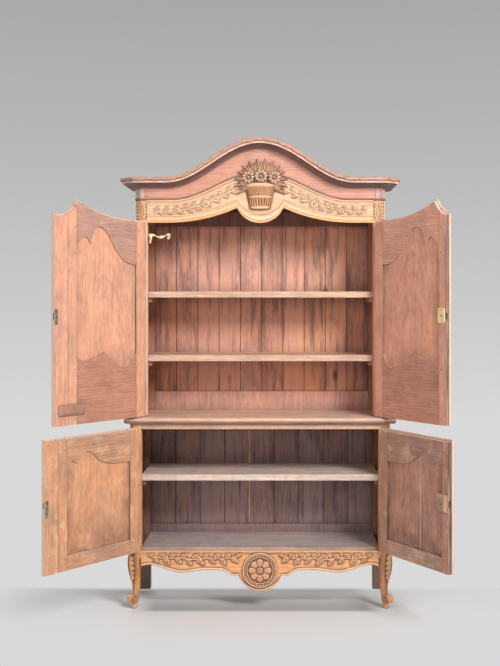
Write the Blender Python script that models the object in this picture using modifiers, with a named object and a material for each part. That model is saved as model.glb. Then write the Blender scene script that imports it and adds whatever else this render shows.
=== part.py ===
"""A two-part oak buffet with four hinged doors, built piece by piece.

The lower body stands on legs and carries a moulded waist top. The upper body stands on that top and
wears an arched cornice. All sizes are in metres, +Z is up and the front faces -Y. The pieces are
placed about the cabinet's own centre line, under one root empty that puts the middle of the floor
area that the open buffet covers at the world's origin.
"""
import math

import bmesh
import bpy
from mathutils import Matrix, Vector

# Clearances
GAP = 0.0003            # between two pieces that touch
DOOR_GAP = 0.002        # round a closed door
INSET = 0.0002          # keeps the faces of two joined solids off one plane
OVERLAP = 0.002         # how far two joined solids reach into each other
PAST = 0.002            # how far a cutting solid reaches past the face it cuts
SEAT_GAP = 0.0005       # between a door's lip and the frame it closes on
BOLT_GAP = 0.0005       # round a sliding lock bolt

# Lower body
LOWER_WIDTH = 1.304
LOWER_DEPTH = 0.460
LOWER_POST_WIDTH = 0.057
LOWER_OPEN_TOP = 0.900
APRON_TOP = 0.292
APRON_THICK = 0.026
FLOOR_THICK = 0.020
FLOOR_RISE = 0.011      # how far the floor board stands above the apron's top edge
LOWER_POST_DEPTH = 0.057
LOWER_CANT = 0.022
SHELF_THICK = 0.030
SHELF_SET_BACK = 0.034
LOWER_SHELF_TOP = 0.668

# Waist
WAIST_RAIL_HEIGHT = 0.028
WAIST_RAIL_THICK = 0.026
WAIST_THICK = 0.030
WAIST_OVERHANG = 0.025
WAIST_ROUND = 0.011

# Upper body
UPPER_STEP_IN = 0.0205  # each side of the upper body, in from the lower body's side
UPPER_DEPTH = 0.400
UPPER_POST_WIDTH = 0.060
UPPER_HEIGHT = 1.091    # posts, from the waist top to the line under the frieze
UPPER_POST_DEPTH = 0.055
UPPER_CANT = 0.027
RAIL_END_HEIGHT = 0.113  # height of the carved rail at its ends
MIDDLE_SHELF_RISE = 0.307
UPPER_SHELF_RISE = 0.630
RAIL_THICK = 0.026
RAIL_RISE = 0.075       # from the rail's flat ends up to its cusps
RAIL_FLAT_SHARE = 0.42  # of the opening's width, from the middle to where the rail's edge starts to rise
CUSP_X = 0.118
LOBE_DROP = 0.076
RISE_POWER = 2.17

# Cornice
FRIEZE_ARCH = 0.138
FRIEZE_SPAN_SHARE = 0.356  # of the upper body's width, from the middle to the arch's end
FRIEZE_THICK = 0.024
FRIEZE_PROUD = 0.004
CROWN_HEIGHT = 0.052
CROWN_PROJECTION = 0.074
CROWN_FOOT = 0.006      # square step under the cavetto
CROWN_ROLL_OUT = 0.010  # how far the roll on top stands out past the cavetto
CROWN_ARCH = 0.198
CROWN_SPAN_SHARE = 0.380
CROWN_POWER = 1.1
CROWN_END_RISE = 0.111  # crown's top at its ends, above the posts' top
ROOF_THICK = 0.014
ROOF_DROP = 0.030       # roof boards, below the crown's underside at its ends

# Frame and panel work
SIDE_PANEL_THICK = 0.014
SIDE_RAIL_THICK = 0.026
SIDE_RAIL_HEIGHT = 0.075
SIDE_SET_BACK = 0.004
RUNNER_HEIGHT = 0.024
RUNNER_REACH = 0.018
BACK_BOARD_THICK = 0.016
BACK_SET_IN = 0.004
BACK_RAIL_THICK = 0.014
BACK_GROOVE = 0.004
BACK_BOARDS_UPPER = 10
BACK_BOARDS_LOWER = 9
BACK_SLIT = 0.003
LOWER_BACK_RAIL = 0.042
UPPER_BACK_RAIL = 0.097
TOP_BACK_RAIL = 0.080
TENON_LENGTH = 0.025
TENON_THICK = 0.008
TENON_SHOULDER = 0.024

# Doors
DOOR_THICK = 0.028
LIP_THICK = 0.0105
LIP = 0.008             # how far a door's front lip covers the frame round it
HINGE_STILE = 0.066
LEFT_MEETING_STILE = 0.056
RIGHT_MEETING_STILE = 0.046
UPPER_FALSE_STILE = 0.086
LOWER_FALSE_STILE = 0.084
DOOR_OFFSET = 0.0045    # how much wider than half the rest of the opening a right door's frame is
LAP = 0.008             # half lap where the right door closes over the false stile
LAP_GAP = 0.001
FALSE_STILE_BEAD = 0.046
FALSE_STILE_PROUD = 0.006
PANEL_THICK = 0.012
PANEL_SET = 0.0095      # from the door's front face to the panel
PANEL_TONGUE = 0.010
PANEL_STEP = 0.020
PANEL_NECK = 0.012
UPPER_DOOR_RISE = 0.003
UPPER_LEFT_OPEN = 126.0  # degrees, as photographed
UPPER_RIGHT_OPEN = 123.3
LOWER_LEFT_OPEN = 125.0
LOWER_RIGHT_OPEN = 118.8

# Door panel outlines: share of the panel's width from the hinge side, share of the named drop or height
UPPER_PANEL_DROP = 0.215  # from the opening's top edge down to the panel's hinge-side corner
LOWER_PANEL_DROP = 0.146
UPPER_FOOT_HEIGHT = 0.326  # from the door's bottom up to the highest point of its bottom rail
LOWER_FOOT_HEIGHT = 0.070
UPPER_HOLLOW = ((0.000, -1.000), (0.103, -0.981), (0.205, -0.912), (0.308, -0.763), (0.423, -0.493),
                (0.518, -0.274), (0.618, -0.186), (0.705, -0.256), (0.749, -0.428), (0.774, -0.577))
UPPER_EAR = ((0.774, -0.577), (0.810, -0.474), (0.874, -0.428), (0.944, -0.502), (1.000, -0.651))
LOWER_HOLLOW = ((0.000, -1.000), (0.145, -1.000), (0.325, -0.966), (0.482, -0.829), (0.602, -0.562),
                (0.704, -0.452), (0.776, -0.575), (0.846, -0.808))
LOWER_EAR = ((0.846, -0.808), (0.882, -0.726), (0.920, -0.705), (0.964, -0.753), (1.000, -0.849))
UPPER_FOOT_LINE = ((0.000, 0.988), (0.072, 0.834), (0.187, 0.761), (0.333, 0.822), (0.549, 1.000),
                   (0.718, 0.939), (0.862, 0.902), (0.949, 0.933), (1.000, 0.985))

# Hinges
KNUCKLE_R = 0.006
KNUCKLE_HEIGHT = 0.045
KNUCKLE_SIDES = 12
PIN_R = 0.0030
PIN_BORE_R = 0.0033
PIN_HEIGHT = 0.038
PIN_END_GAP = 0.002
TIP_HEIGHT = 0.012
WING_THICK = 0.0024
WING_HEIGHT = 0.034
WING_REACH = 0.024
HINGE_CLEAR = 0.001     # between a knuckle and the door's edge
HINGE_FROM_END = 0.130

# Locks
BOLT_THICK = 0.008
BOLT_HEIGHT = 0.028
BOLT_LENGTH = 0.030
BOLT_THROW = 0.012
UPPER_LOCK_RISE = 0.512
LOWER_LOCK_RISE = 0.322
LOCK_CASE_WIDTH = 0.052
LOCK_CASE_HEIGHT = 0.080
LOCK_CASE_THICK = 0.016
LOCK_CASE_IN = 0.004    # from the meeting stile's edge
LOCK_CASE_BEVEL = 0.002

# Legs and feet
LEG_SECTIONS = ((0.290, 0.0275, 0.000), (0.245, 0.0290, 0.006), (0.200, 0.0270, 0.006),
                (0.150, 0.0215, 0.000), (0.100, 0.0180, -0.003), (0.065, 0.0175, 0.003),
                (0.032, 0.0180, 0.008))
LEG_SIDES = 12
TOE_R = 0.0215
TOE_WIDTH = 0.036
TOE_RISE = 0.0470
TOE_OUT = 0.022
PAD_R = 0.017
PAD_HEIGHT = 0.034
PAD_OUT = 0.011

# Carved ornaments
MEDALLION_R = 0.088
MEDALLION_RISE = 0.196
MEDALLION_PROUD = 0.010
APRON_LOBE_R = 0.115
APRON_LOBE_LOW = 0.0905
APRON_LOBE_END = 0.95   # sine of the angle where the lobe's arc ends
APRON_DROP = 0.126      # from the apron's top edge to the lowest point of its scrolled ends
# Left half of the apron's lower edge: share of half the opening, share of the drop
APRON_SCROLL = ((-0.999, -0.619), (-0.929, -0.556), (-0.862, -0.611), (-0.765, -0.762),
                (-0.661, -0.865), (-0.555, -0.810), (-0.442, -0.762), (-0.308, -0.794),
                (-0.232, -1.000))
BASKET_DROP = 0.045     # basket's base, below the top of the posts
BASKET_HEIGHT = 0.122
BASKET_BASE_R = 0.054
BASKET_RIM_R = 0.080
BASKET_DEPTH = 0.034
BASKET_SIDES = 24
BASKET_LIP = 0.006
BASKET_LIP_HEIGHT = 0.012
BASKET_LIP_ROUND = 0.002
FLOWER_SET = 0.002
FLOWER_R = 0.031
FLOWER_SPREAD = 0.052
FLOWER_RISE = 0.052
FAN_R = 0.118
FAN_THICK = 0.016
FAN_LEAVES = 9
FAN_OVERLAP = 0.004     # how far the fan reaches into the cup and flowers behind it
FAN_NOTCH = 0.90
FAN_LIFT = 0.008
FAN_SQUEEZE = 0.93

LEG_POST_OVER = 0.010   # post's lower end, above the leg's second section
APRON_TENON_LOW = 0.062  # below the apron's top edge
APRON_TENON_HIGH = 0.010
WAIST_TENON_LOW = 0.005
WAIST_TENON_HIGH = 0.006
RAIL_TENON_SHOULDER = 0.020
TENON_ROOT = 0.004      # how far a front rail's tenon reaches back into the rail
PANEL_SEAT = 0.010      # how far a side panel reaches behind its rails
SLIT_MARGIN = 0.004     # from a back rail to the end of a board joint
CURVE_STEPS = 6         # straight stretches between two points of a drawn curve
ARCH_STEPS = 36

# Places that follow from the sizes above
LOWER_OPENING = LOWER_WIDTH - 2 * LOWER_POST_WIDTH
UPPER_WIDTH = LOWER_WIDTH - 2 * UPPER_STEP_IN
UPPER_OPENING = UPPER_WIDTH - 2 * UPPER_POST_WIDTH
UPPER_OPEN_HEIGHT = UPPER_HEIGHT - RAIL_END_HEIGHT
RAIL_FLAT_X = RAIL_FLAT_SHARE * UPPER_OPENING
FRIEZE_HALF_SPAN = FRIEZE_SPAN_SHARE * UPPER_WIDTH
CROWN_HALF_SPAN = CROWN_SPAN_SHARE * UPPER_WIDTH
FRONT = -LOWER_DEPTH / 2
BACK = LOWER_DEPTH / 2
UPPER_FRONT = BACK - UPPER_DEPTH
WAIST_UNDER = LOWER_OPEN_TOP + WAIST_RAIL_HEIGHT
WAIST_TOP = WAIST_UNDER + WAIST_THICK
UPPER_TOP = WAIST_TOP + UPPER_HEIGHT
UPPER_OPEN_TOP = WAIST_TOP + UPPER_OPEN_HEIGHT
ROOF_UNDER = UPPER_TOP + CROWN_END_RISE - CROWN_HEIGHT - ROOF_DROP - ROOF_THICK
FLOOR_TOP = APRON_TOP + FLOOR_RISE
AXIS_OUT = LIP + KNUCKLE_R + HINGE_CLEAR
AXIS_FORWARD = KNUCKLE_R + SEAT_GAP
LOBE_R = (CUSP_X ** 2 + LOBE_DROP ** 2) / (2 * LOBE_DROP)

OAK = (0.36, 0.17, 0.075)
OAK_LIGHT = (0.47, 0.25, 0.12)
OAK_HONEY = (0.45, 0.23, 0.08)
OAK_DARK = (0.20, 0.10, 0.06)
OAK_RED = (0.33, 0.14, 0.075)
IRON = (0.10, 0.09, 0.085)


def empty_scene():
    """Remove whatever the scene holds and add the collection for the buffet's pieces."""
    for old in list(bpy.data.objects):
        bpy.data.objects.remove(old, do_unlink=True)
    pieces = bpy.data.collections.new("two_part_buffet")
    bpy.context.scene.collection.children.link(pieces)
    return pieces


PIECES = empty_scene()
MATERIALS = {}


def material(name, colour, roughness, metallic=0.0):
    """Make one Principled material, or return it if it was made before."""
    if name not in MATERIALS:
        made = bpy.data.materials.new(name)
        made.use_nodes = True
        shader = made.node_tree.nodes["Principled BSDF"]
        shader.inputs["Base Color"].default_value = (*colour, 1.0)
        shader.inputs["Roughness"].default_value = roughness
        shader.inputs["Metallic"].default_value = metallic
        MATERIALS[name] = made
    return MATERIALS[name]


def wood(name, colour):
    """Waxed oak of the given colour."""
    return material(name, colour, 0.55)


def iron():
    """Dark forged iron."""
    return material("forged_iron", IRON, 0.45, 1.0)


def empty(name, parent=None, place=(0.0, 0.0, 0.0), turn=0.0):
    """Add an empty, turned about Z by an angle in degrees."""
    made = bpy.data.objects.new(name, None)
    PIECES.objects.link(made)
    made.parent = parent
    made.location = place
    made.rotation_euler = (0.0, 0.0, math.radians(turn))
    return made


def to_object(bm, name="shape"):
    """Put a bmesh into a new mesh object, with its faces pointing outwards."""
    bmesh.ops.recalc_face_normals(bm, faces=bm.faces)
    if bm.calc_volume(signed=True) < 0.0:
        bmesh.ops.reverse_faces(bm, faces=bm.faces)
    mesh = bpy.data.meshes.new(name)
    bm.to_mesh(mesh)
    bm.free()
    made = bpy.data.objects.new(name, mesh)
    PIECES.objects.link(made)
    return made


def box(low, high):
    """Make a box between two corners."""
    bm = bmesh.new()
    low, high = Vector(low), Vector(high)
    size = Matrix.Diagonal((*(high - low), 1.0))
    bmesh.ops.create_cube(bm, size=1.0, matrix=Matrix.Translation((low + high) / 2) @ size)
    return to_object(bm)


def flat_to_mesh(curve_object):
    """Turn a filled curve object into a welded bmesh and remove the curve."""
    bpy.context.view_layer.update()
    graph = bpy.context.evaluated_depsgraph_get()
    mesh = bpy.data.meshes.new_from_object(curve_object.evaluated_get(graph))
    bm = bmesh.new()
    bm.from_mesh(mesh)
    bmesh.ops.remove_doubles(bm, verts=bm.verts, dist=1e-6)
    curve = curve_object.data
    bpy.data.objects.remove(curve_object)
    bpy.data.curves.remove(curve)
    bpy.data.meshes.remove(mesh)
    return bm


def plate(outline, near, far, upright=True):
    """Extrude a flat outline: (x, z) points along Y if upright, (x, y) points along Z if not."""
    curve = bpy.data.curves.new("outline", "CURVE")
    curve.dimensions = "2D"
    curve.fill_mode = "BOTH"
    curve.extrude = (far - near) / 2
    line = curve.splines.new("POLY")
    line.points.add(len(outline) - 1)
    for point, (across, along) in zip(line.points, outline):
        point.co = (across, along, 0.0, 1.0)
    line.use_cyclic_u = True
    made = bpy.data.objects.new("outline", curve)
    PIECES.objects.link(made)
    bm = flat_to_mesh(made)
    for point in bm.verts:
        across, along, deep = point.co
        level = near if deep < 0.0 else far
        point.co = (across, level, along) if upright else (across, along, level)
    return to_object(bm)


def turned(profile, sides, place):
    """Turn a profile of (radius, height) points, given from top to bottom, about a vertical axis."""
    mesh = bpy.data.meshes.new("profile")
    edges = [(i, i + 1) for i in range(len(profile) - 1)]
    mesh.from_pydata([(radius, 0.0, height) for radius, height in profile], edges, [])
    made = bpy.data.objects.new("profile", mesh)
    PIECES.objects.link(made)
    screw = made.modifiers.new("turn", "SCREW")
    screw.steps = sides
    screw.render_steps = sides
    screw.use_merge_vertices = True
    screw.merge_threshold = 0.00001
    made.location = place
    return settle(made)


def settle(made):
    """Apply an object's modifiers and place to its mesh."""
    bpy.context.view_layer.update()
    graph = bpy.context.evaluated_depsgraph_get()
    mesh = bpy.data.meshes.new_from_object(made.evaluated_get(graph))
    mesh.transform(made.matrix_world)
    old = made.data
    made.modifiers.clear()
    made.data = mesh
    made.matrix_world = Matrix.Identity(4)
    bpy.data.meshes.remove(old)
    return made


def combine(target, tools, operation):
    """Join the tools to the target, or cut them out of it, and remove them."""
    for tool in tools:
        change = target.modifiers.new("change", "BOOLEAN")
        change.operation = operation
        change.solver = "MANIFOLD"
        change.object = tool
        settle(target)
        mesh = tool.data
        bpy.data.objects.remove(tool)
        bpy.data.meshes.remove(mesh)
    return target


def join(target, *tools):
    """Join solids into one body."""
    return combine(target, tools, "UNION")


def cut(target, *tools):
    """Cut solids out of a body."""
    return combine(target, tools, "DIFFERENCE")


def loft(rings):
    """Skin a list of rings, each with the same number of points, and cap both ends."""
    bm = bmesh.new()
    rows = [[bm.verts.new(point) for point in ring] for ring in rings]
    count = len(rows[0])
    for lower, upper in zip(rows, rows[1:]):
        for i in range(count):
            after = (i + 1) % count
            bm.faces.new((lower[i], lower[after], upper[after], upper[i]))
    bm.faces.new(rows[0])
    bm.faces.new(rows[-1])
    return to_object(bm)


def piece(name, made, look, parent):
    """Name a finished solid, give it its material and hang it on its parent."""
    made.name = name
    made.data.name = name
    made.data.materials.clear()
    made.data.materials.append(look)
    made.data.shade_smooth()
    made.data.set_sharp_from_angle(angle=math.radians(35))
    made.parent = parent
    return made


def smooth_line(points):
    """Draw a smooth line through the points, as a Catmull-Rom curve."""
    ends = [points[0], *points, points[-1]]
    line = []
    for before, start, end, after in zip(ends, ends[1:], ends[2:], ends[3:]):
        for step in range(CURVE_STEPS):
            t = step / CURVE_STEPS
            line.append(tuple(
                0.5 * (2 * b + (c - a) * t + (2 * a - 5 * b + 4 * c - d) * t ** 2
                       + (3 * b - a - 3 * c + d) * t ** 3)
                for a, b, c, d in zip(before, start, end, after)))
    line.append(tuple(points[-1]))
    return line


def spread(start, end, count):
    """Give evenly spaced numbers from start to end."""
    return [start + (end - start) * i / count for i in range(count + 1)]


def bump(x, half_span):
    """Rise smoothly from 0 at the half span to 1 on the centre line."""
    if abs(x) >= half_span:
        return 0.0
    return 0.5 + 0.5 * math.cos(math.pi * x / half_span)


def rail_edge(x):
    """Height of the carved rail's lower edge: flat, rising to a cusp, then a round lobe."""
    reach = abs(x)
    if reach < CUSP_X:
        lobe_centre = UPPER_OPEN_TOP + RAIL_RISE - LOBE_DROP + LOBE_R
        return lobe_centre - math.sqrt(LOBE_R ** 2 - reach ** 2)
    if reach < RAIL_FLAT_X:
        share = (RAIL_FLAT_X - reach) / (RAIL_FLAT_X - CUSP_X)
        return UPPER_OPEN_TOP + RAIL_RISE * share ** RISE_POWER
    return UPPER_OPEN_TOP


def frieze_line(x):
    """Height of the line between the carved rail and the frieze above it."""
    return UPPER_TOP + FRIEZE_ARCH * bump(x, FRIEZE_HALF_SPAN)


def arch_stations():
    """Give the x places, from left to right, where the arched lines have points."""
    corner = UPPER_WIDTH / 2 - UPPER_CANT
    return spread(-corner, corner, ARCH_STEPS)


def crown_under(x):
    """Height of the crown moulding's underside."""
    rise = CROWN_ARCH * bump(x, CROWN_HALF_SPAN) ** CROWN_POWER
    return UPPER_TOP + CROWN_END_RISE - CROWN_HEIGHT + rise


def rail_stations(low, high):
    """Give the x places between two limits where the carved rail's edge needs a point."""
    marks = [-CUSP_X, CUSP_X, *spread(-CUSP_X, CUSP_X, 12)]
    marks += [side * x for side in (-1, 1) for x in spread(CUSP_X, RAIL_FLAT_X, 10)]
    inside = [x for x in marks if low + GAP < x < high - GAP]
    ordered = sorted([low, high, *inside])
    kept = [ordered[0]]
    for x in ordered[1:]:
        if x - kept[-1] > 1e-5:
            kept.append(x)
    return kept


def mirror_points(points, side):
    """Flip (x, other) points to the left (-1) or keep them on the right (+1)."""
    return [(side * x, other) for x, other in points]


def post_outline(opening, width, front, depth, cant, side):
    """Plan of a front post: a square with its outer front corner cut off."""
    inner, outer = opening / 2, width / 2
    return mirror_points([(inner, front), (outer - cant, front), (outer, front + cant),
                          (outer, front + depth), (inner, front + depth)], side)


def wing_mortise(opening, front, side, height):
    """Slot in a post for a hinge's fixed wing."""
    axis_x = side * (opening / 2 + AXIS_OUT)
    half = WING_THICK / 2 + GAP
    low, deep = height - KNUCKLE_HEIGHT, front + WING_REACH - AXIS_FORWARD
    return box((axis_x - half, front - PAST, low - GAP),
               (axis_x + half, deep + GAP, low + WING_HEIGHT + GAP))


def tenon(side, opening, front, low, high, grow=0.0):
    """Tenon of a front rail, reaching into a post, or with grow its mortise."""
    start, end = opening / 2 - TENON_ROOT, opening / 2 + TENON_LENGTH + grow
    middle = front + RAIL_THICK / 2
    half = TENON_THICK / 2 + grow
    across = sorted((side * start, side * end))
    return box((across[0], middle - half, low - grow), (across[1], middle + half, high + grow))


def hinge_heights(bottom, top):
    """Heights of the two hinges' meeting faces on a door."""
    return (bottom + HINGE_FROM_END, top - HINGE_FROM_END)


def leg_ring(height, half, out, side):
    """One cross-section of a cabriole leg: a rounded square, moved out along the diagonal."""
    centre = Vector((side * (LOWER_OPENING + LOWER_WIDTH) / 4, FRONT + LOWER_POST_DEPTH / 2, height))
    diagonal = Vector((side, -1.0, 0.0)).normalized()
    ring = []
    for i in range(LEG_SIDES):
        angle = math.tau * (i + 0.5) / LEG_SIDES
        swell = 1.0 / max(abs(math.cos(angle)), abs(math.sin(angle))) ** 0.6
        ring.append(centre + diagonal * out
                    + Vector((math.cos(angle), math.sin(angle), 0.0)) * half * swell)
    return ring


def scroll_foot(side):
    """A toe scroll, lying across the diagonal, and the small pad under it."""
    corner = Vector((side * (LOWER_OPENING + LOWER_WIDTH) / 4, FRONT + LOWER_POST_DEPTH / 2, 0.0))
    diagonal = Vector((side, -1.0, 0.0)).normalized()
    across = Vector((1.0, side, 0.0)).normalized()
    turn = across.to_track_quat("Z", "Y").to_matrix().to_4x4()
    bm = bmesh.new()
    place = Matrix.Translation(corner + diagonal * TOE_OUT + Vector((0.0, 0.0, TOE_RISE)))
    bmesh.ops.create_cone(bm, cap_ends=True, segments=18, radius1=TOE_R, radius2=TOE_R,
                          depth=TOE_WIDTH, matrix=place @ turn)
    toe = to_object(bm)
    bm = bmesh.new()
    place = Matrix.Translation(corner + diagonal * PAD_OUT + Vector((0.0, 0.0, PAD_HEIGHT / 2)))
    bmesh.ops.create_cone(bm, cap_ends=True, segments=12, radius1=PAD_R * 0.85, radius2=PAD_R,
                          depth=PAD_HEIGHT, matrix=place)
    return toe, to_object(bm)


def front_leg(side, hinges):
    """A lower front post that runs down into a cabriole leg with a scroll foot."""
    outline = post_outline(LOWER_OPENING, LOWER_WIDTH, FRONT, LOWER_POST_DEPTH, LOWER_CANT, side)
    post = plate(outline, LEG_SECTIONS[1][0] + LEG_POST_OVER, WAIST_UNDER - GAP, upright=False)
    leg = loft([leg_ring(height, half, out, side) for height, half, out in LEG_SECTIONS])
    made = join(post, leg, *scroll_foot(side))
    cuts = [wing_mortise(LOWER_OPENING, FRONT, side, height) for height in hinges]
    cuts.append(tenon(side, LOWER_OPENING, FRONT, *apron_tenon(), GAP))
    cuts.append(tenon(side, LOWER_OPENING, FRONT, *waist_tenon(), GAP))
    return cut(made, *cuts)


def apron_tenon():
    """Lowest and highest edge of the apron's tenons."""
    return APRON_TOP - APRON_TENON_LOW, APRON_TOP - APRON_TENON_HIGH


def waist_tenon():
    """Lowest and highest edge of the waist rail's tenons."""
    return LOWER_OPEN_TOP + WAIST_TENON_LOW, WAIST_UNDER - WAIST_TENON_HIGH


def rail_tenon():
    """Lowest and highest edge of the carved rail's tenons."""
    return UPPER_OPEN_TOP + RAIL_TENON_SHOULDER, UPPER_TOP - RAIL_TENON_SHOULDER


def apron_outline():
    """Front view of the apron: straight on top, scrolled below, with a round lobe in the middle."""
    end = LOWER_OPENING / 2 - GAP
    scroll = smooth_line([(max(share * LOWER_OPENING / 2, -end), APRON_TOP + level * APRON_DROP)
                          for share, level in APRON_SCROLL])
    centre = APRON_LOBE_LOW + APRON_LOBE_R
    start = math.asin(APRON_LOBE_END)
    lobe = [(APRON_LOBE_R * math.sin(angle), centre - APRON_LOBE_R * math.cos(angle))
            for angle in spread(-start, start, 14)]
    right = [(-x, z) for x, z in reversed(scroll)]
    return [(-end, APRON_TOP), *scroll, *lobe, *right, (end, APRON_TOP)]


def apron():
    """The lower front rail, with its tenons and the round boss for the carved medallion."""
    made = plate(apron_outline(), FRONT, FRONT + APRON_THICK)
    low, high = apron_tenon()
    bm = bmesh.new()
    depth = MEDALLION_PROUD + APRON_THICK / 2
    place = Matrix.Translation((0.0, FRONT - MEDALLION_PROUD + depth / 2, MEDALLION_RISE))
    bmesh.ops.create_cone(bm, cap_ends=True, segments=32, radius1=MEDALLION_R, radius2=MEDALLION_R,
                          depth=depth, matrix=place @ Matrix.Rotation(math.pi / 2, 4, "X"))
    boss = to_object(bm)
    return join(made, boss, *(tenon(side, LOWER_OPENING, FRONT, low, high) for side in (-1, 1)))


def side_frame(side, width, opening, front_depth, front, bottom, leg_bottom, top, shelves, floor_top):
    """A side: rear post, rails, panel and the runners that carry the shelves, glued up as one."""
    outer, inner = width / 2, opening / 2
    post_depth = front_depth
    start, end = front + front_depth + GAP, BACK - post_depth + OVERLAP

    def slab(x_in, x_out, low, high):
        across = sorted((side * x_in, side * x_out))
        return box((across[0], start, low), (across[1], end, high))

    across = sorted((side * inner, side * outer))
    post = box((across[0], BACK - post_depth, leg_bottom), (across[1], BACK, top))
    face = outer - SIDE_SET_BACK
    middle = face - SIDE_RAIL_THICK / 2
    parts = [slab(middle - SIDE_PANEL_THICK / 2, middle + SIDE_PANEL_THICK / 2,
                  bottom + PANEL_SEAT, top - PANEL_SEAT),
             slab(face - SIDE_RAIL_THICK, face, bottom, bottom + SIDE_RAIL_HEIGHT),
             slab(face - SIDE_RAIL_THICK, face, top - SIDE_RAIL_HEIGHT, top)]
    for shelf_under in shelves:
        parts.append(slab(inner - RUNNER_REACH, face - SIDE_RAIL_THICK / 2,
                          shelf_under - RUNNER_HEIGHT - GAP, shelf_under - GAP))
    if floor_top is not None:
        under = floor_top - FLOOR_THICK - GAP
        parts.append(slab(inner - RUNNER_REACH, face - SIDE_RAIL_THICK / 2, under - RUNNER_HEIGHT, under))
    return join(post, *parts)


def back_panel(opening, bottom, top, boards, rails, slits):
    """Upright back boards in one sheet, grooved at each joint, on their inner rails."""
    half = opening / 2 - GAP
    rear, front = BACK - BACK_SET_IN, BACK - BACK_SET_IN - BACK_BOARD_THICK
    made = box((-half, front, bottom), (half, rear, top))
    joints = spread(-half, half, boards)[1:-1]
    for low, high in rails:
        made = join(made, box((-half, front - BACK_RAIL_THICK, low), (half, front + OVERLAP, high)))
    clear_low = max((high for low, high in rails if high < (bottom + top) / 2), default=bottom)
    clear_high = min((low for low, high in rails if low > (bottom + top) / 2), default=top)
    for number, x in enumerate(joints):
        deep = rear + PAST if number in slits else front + BACK_GROOVE
        made = cut(made, box((x - BACK_SLIT / 2, front - PAST, clear_low + SLIT_MARGIN),
                             (x + BACK_SLIT / 2, deep, clear_high - SLIT_MARGIN)))
    return made


def shelf(opening, front, top):
    """A shelf board between the posts, from behind the doors to the back boards."""
    half = opening / 2 - GAP
    back = BACK - BACK_SET_IN - BACK_BOARD_THICK - GAP
    return box((-half, front + SHELF_SET_BACK, top - SHELF_THICK), (half, back, top))


def waist():
    """The moulded top of the lower body with the rail under its front edge."""
    half = LOWER_WIDTH / 2 + WAIST_OVERHANG
    made = box((-half, FRONT - WAIST_OVERHANG, WAIST_UNDER), (half, BACK, WAIST_TOP))
    bm = bmesh.new()
    bm.from_mesh(made.data)
    rounded = [edge for edge in bm.edges
               if abs(edge.verts[0].co.z - edge.verts[1].co.z) < 1e-6
               and (edge.verts[0].co.y + edge.verts[1].co.y) / 2 < BACK - 1e-4]
    bmesh.ops.bevel(bm, geom=rounded, offset=WAIST_ROUND, segments=4, profile=0.5, affect="EDGES")
    bm.to_mesh(made.data)
    bm.free()
    reach = LOWER_OPENING / 2 - GAP
    rail = box((-reach, FRONT, LOWER_OPEN_TOP), (reach, FRONT + WAIST_RAIL_THICK, WAIST_UNDER + OVERLAP))
    low, high = waist_tenon()
    return join(made, rail, *(tenon(side, LOWER_OPENING, FRONT, low, high) for side in (-1, 1)))


def upper_post(side, hinges):
    """An upper front post."""
    outline = post_outline(UPPER_OPENING, UPPER_WIDTH, UPPER_FRONT, UPPER_POST_DEPTH, UPPER_CANT, side)
    post = plate(outline, WAIST_TOP + GAP, UPPER_TOP, upright=False)
    cuts = [wing_mortise(UPPER_OPENING, UPPER_FRONT, side, height) for height in hinges]
    cuts.append(tenon(side, UPPER_OPENING, UPPER_FRONT, *rail_tenon(), GAP))
    return cut(post, *cuts)


def carved_rail():
    """The arched front rail above the upper doors."""
    half = UPPER_OPENING / 2 - GAP
    lower = [(x, rail_edge(x)) for x in rail_stations(-half, half)]
    places = [half, *(x for x in reversed(arch_stations()) if abs(x) < half), -half]
    upper = [(x, frieze_line(x)) for x in places]
    made = plate([*lower, *upper], UPPER_FRONT, UPPER_FRONT + RAIL_THICK)
    low, high = rail_tenon()
    return join(made, *(tenon(side, UPPER_OPENING, UPPER_FRONT, low, high) for side in (-1, 1)))


def crown_path():
    """Plan and height of the crown's foot, from the back on the left round to the back on the right."""
    half = UPPER_WIDTH / 2
    front = UPPER_FRONT - FRIEZE_PROUD
    ends = [(half, BACK), (half, front + UPPER_CANT)]
    low = crown_under(half)
    left = [(-x, y, low) for x, y in ends]
    right = [(x, y, low) for x, y in reversed(ends)]
    across = [(x, front, crown_under(x)) for x in arch_stations()]
    return [*left, *across, *right]


def crown_profile():
    """Section of the crown as (out, up) points: cavetto, fillet and a round torus on top."""
    cove, fillet = CROWN_HEIGHT * 0.46, CROWN_HEIGHT * 0.64
    reach = CROWN_PROJECTION - CROWN_ROLL_OUT
    points = [(0.0, 0.0), (CROWN_FOOT - INSET, 0.0)]
    for angle in spread(0.0, math.pi / 2, 4):
        points.append((CROWN_FOOT + (reach - CROWN_FOOT) * (1 - math.cos(angle)), cove * math.sin(angle)))
    points.append((reach, fillet))
    round_r = (CROWN_HEIGHT - fillet) / 2
    for angle in spread(-math.pi / 2, math.pi / 2, 5):
        points.append((CROWN_PROJECTION - round_r + round_r * math.cos(angle),
                       fillet + round_r + round_r * math.sin(angle)))
    points.append((-FRIEZE_THICK, CROWN_HEIGHT))
    return points


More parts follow.
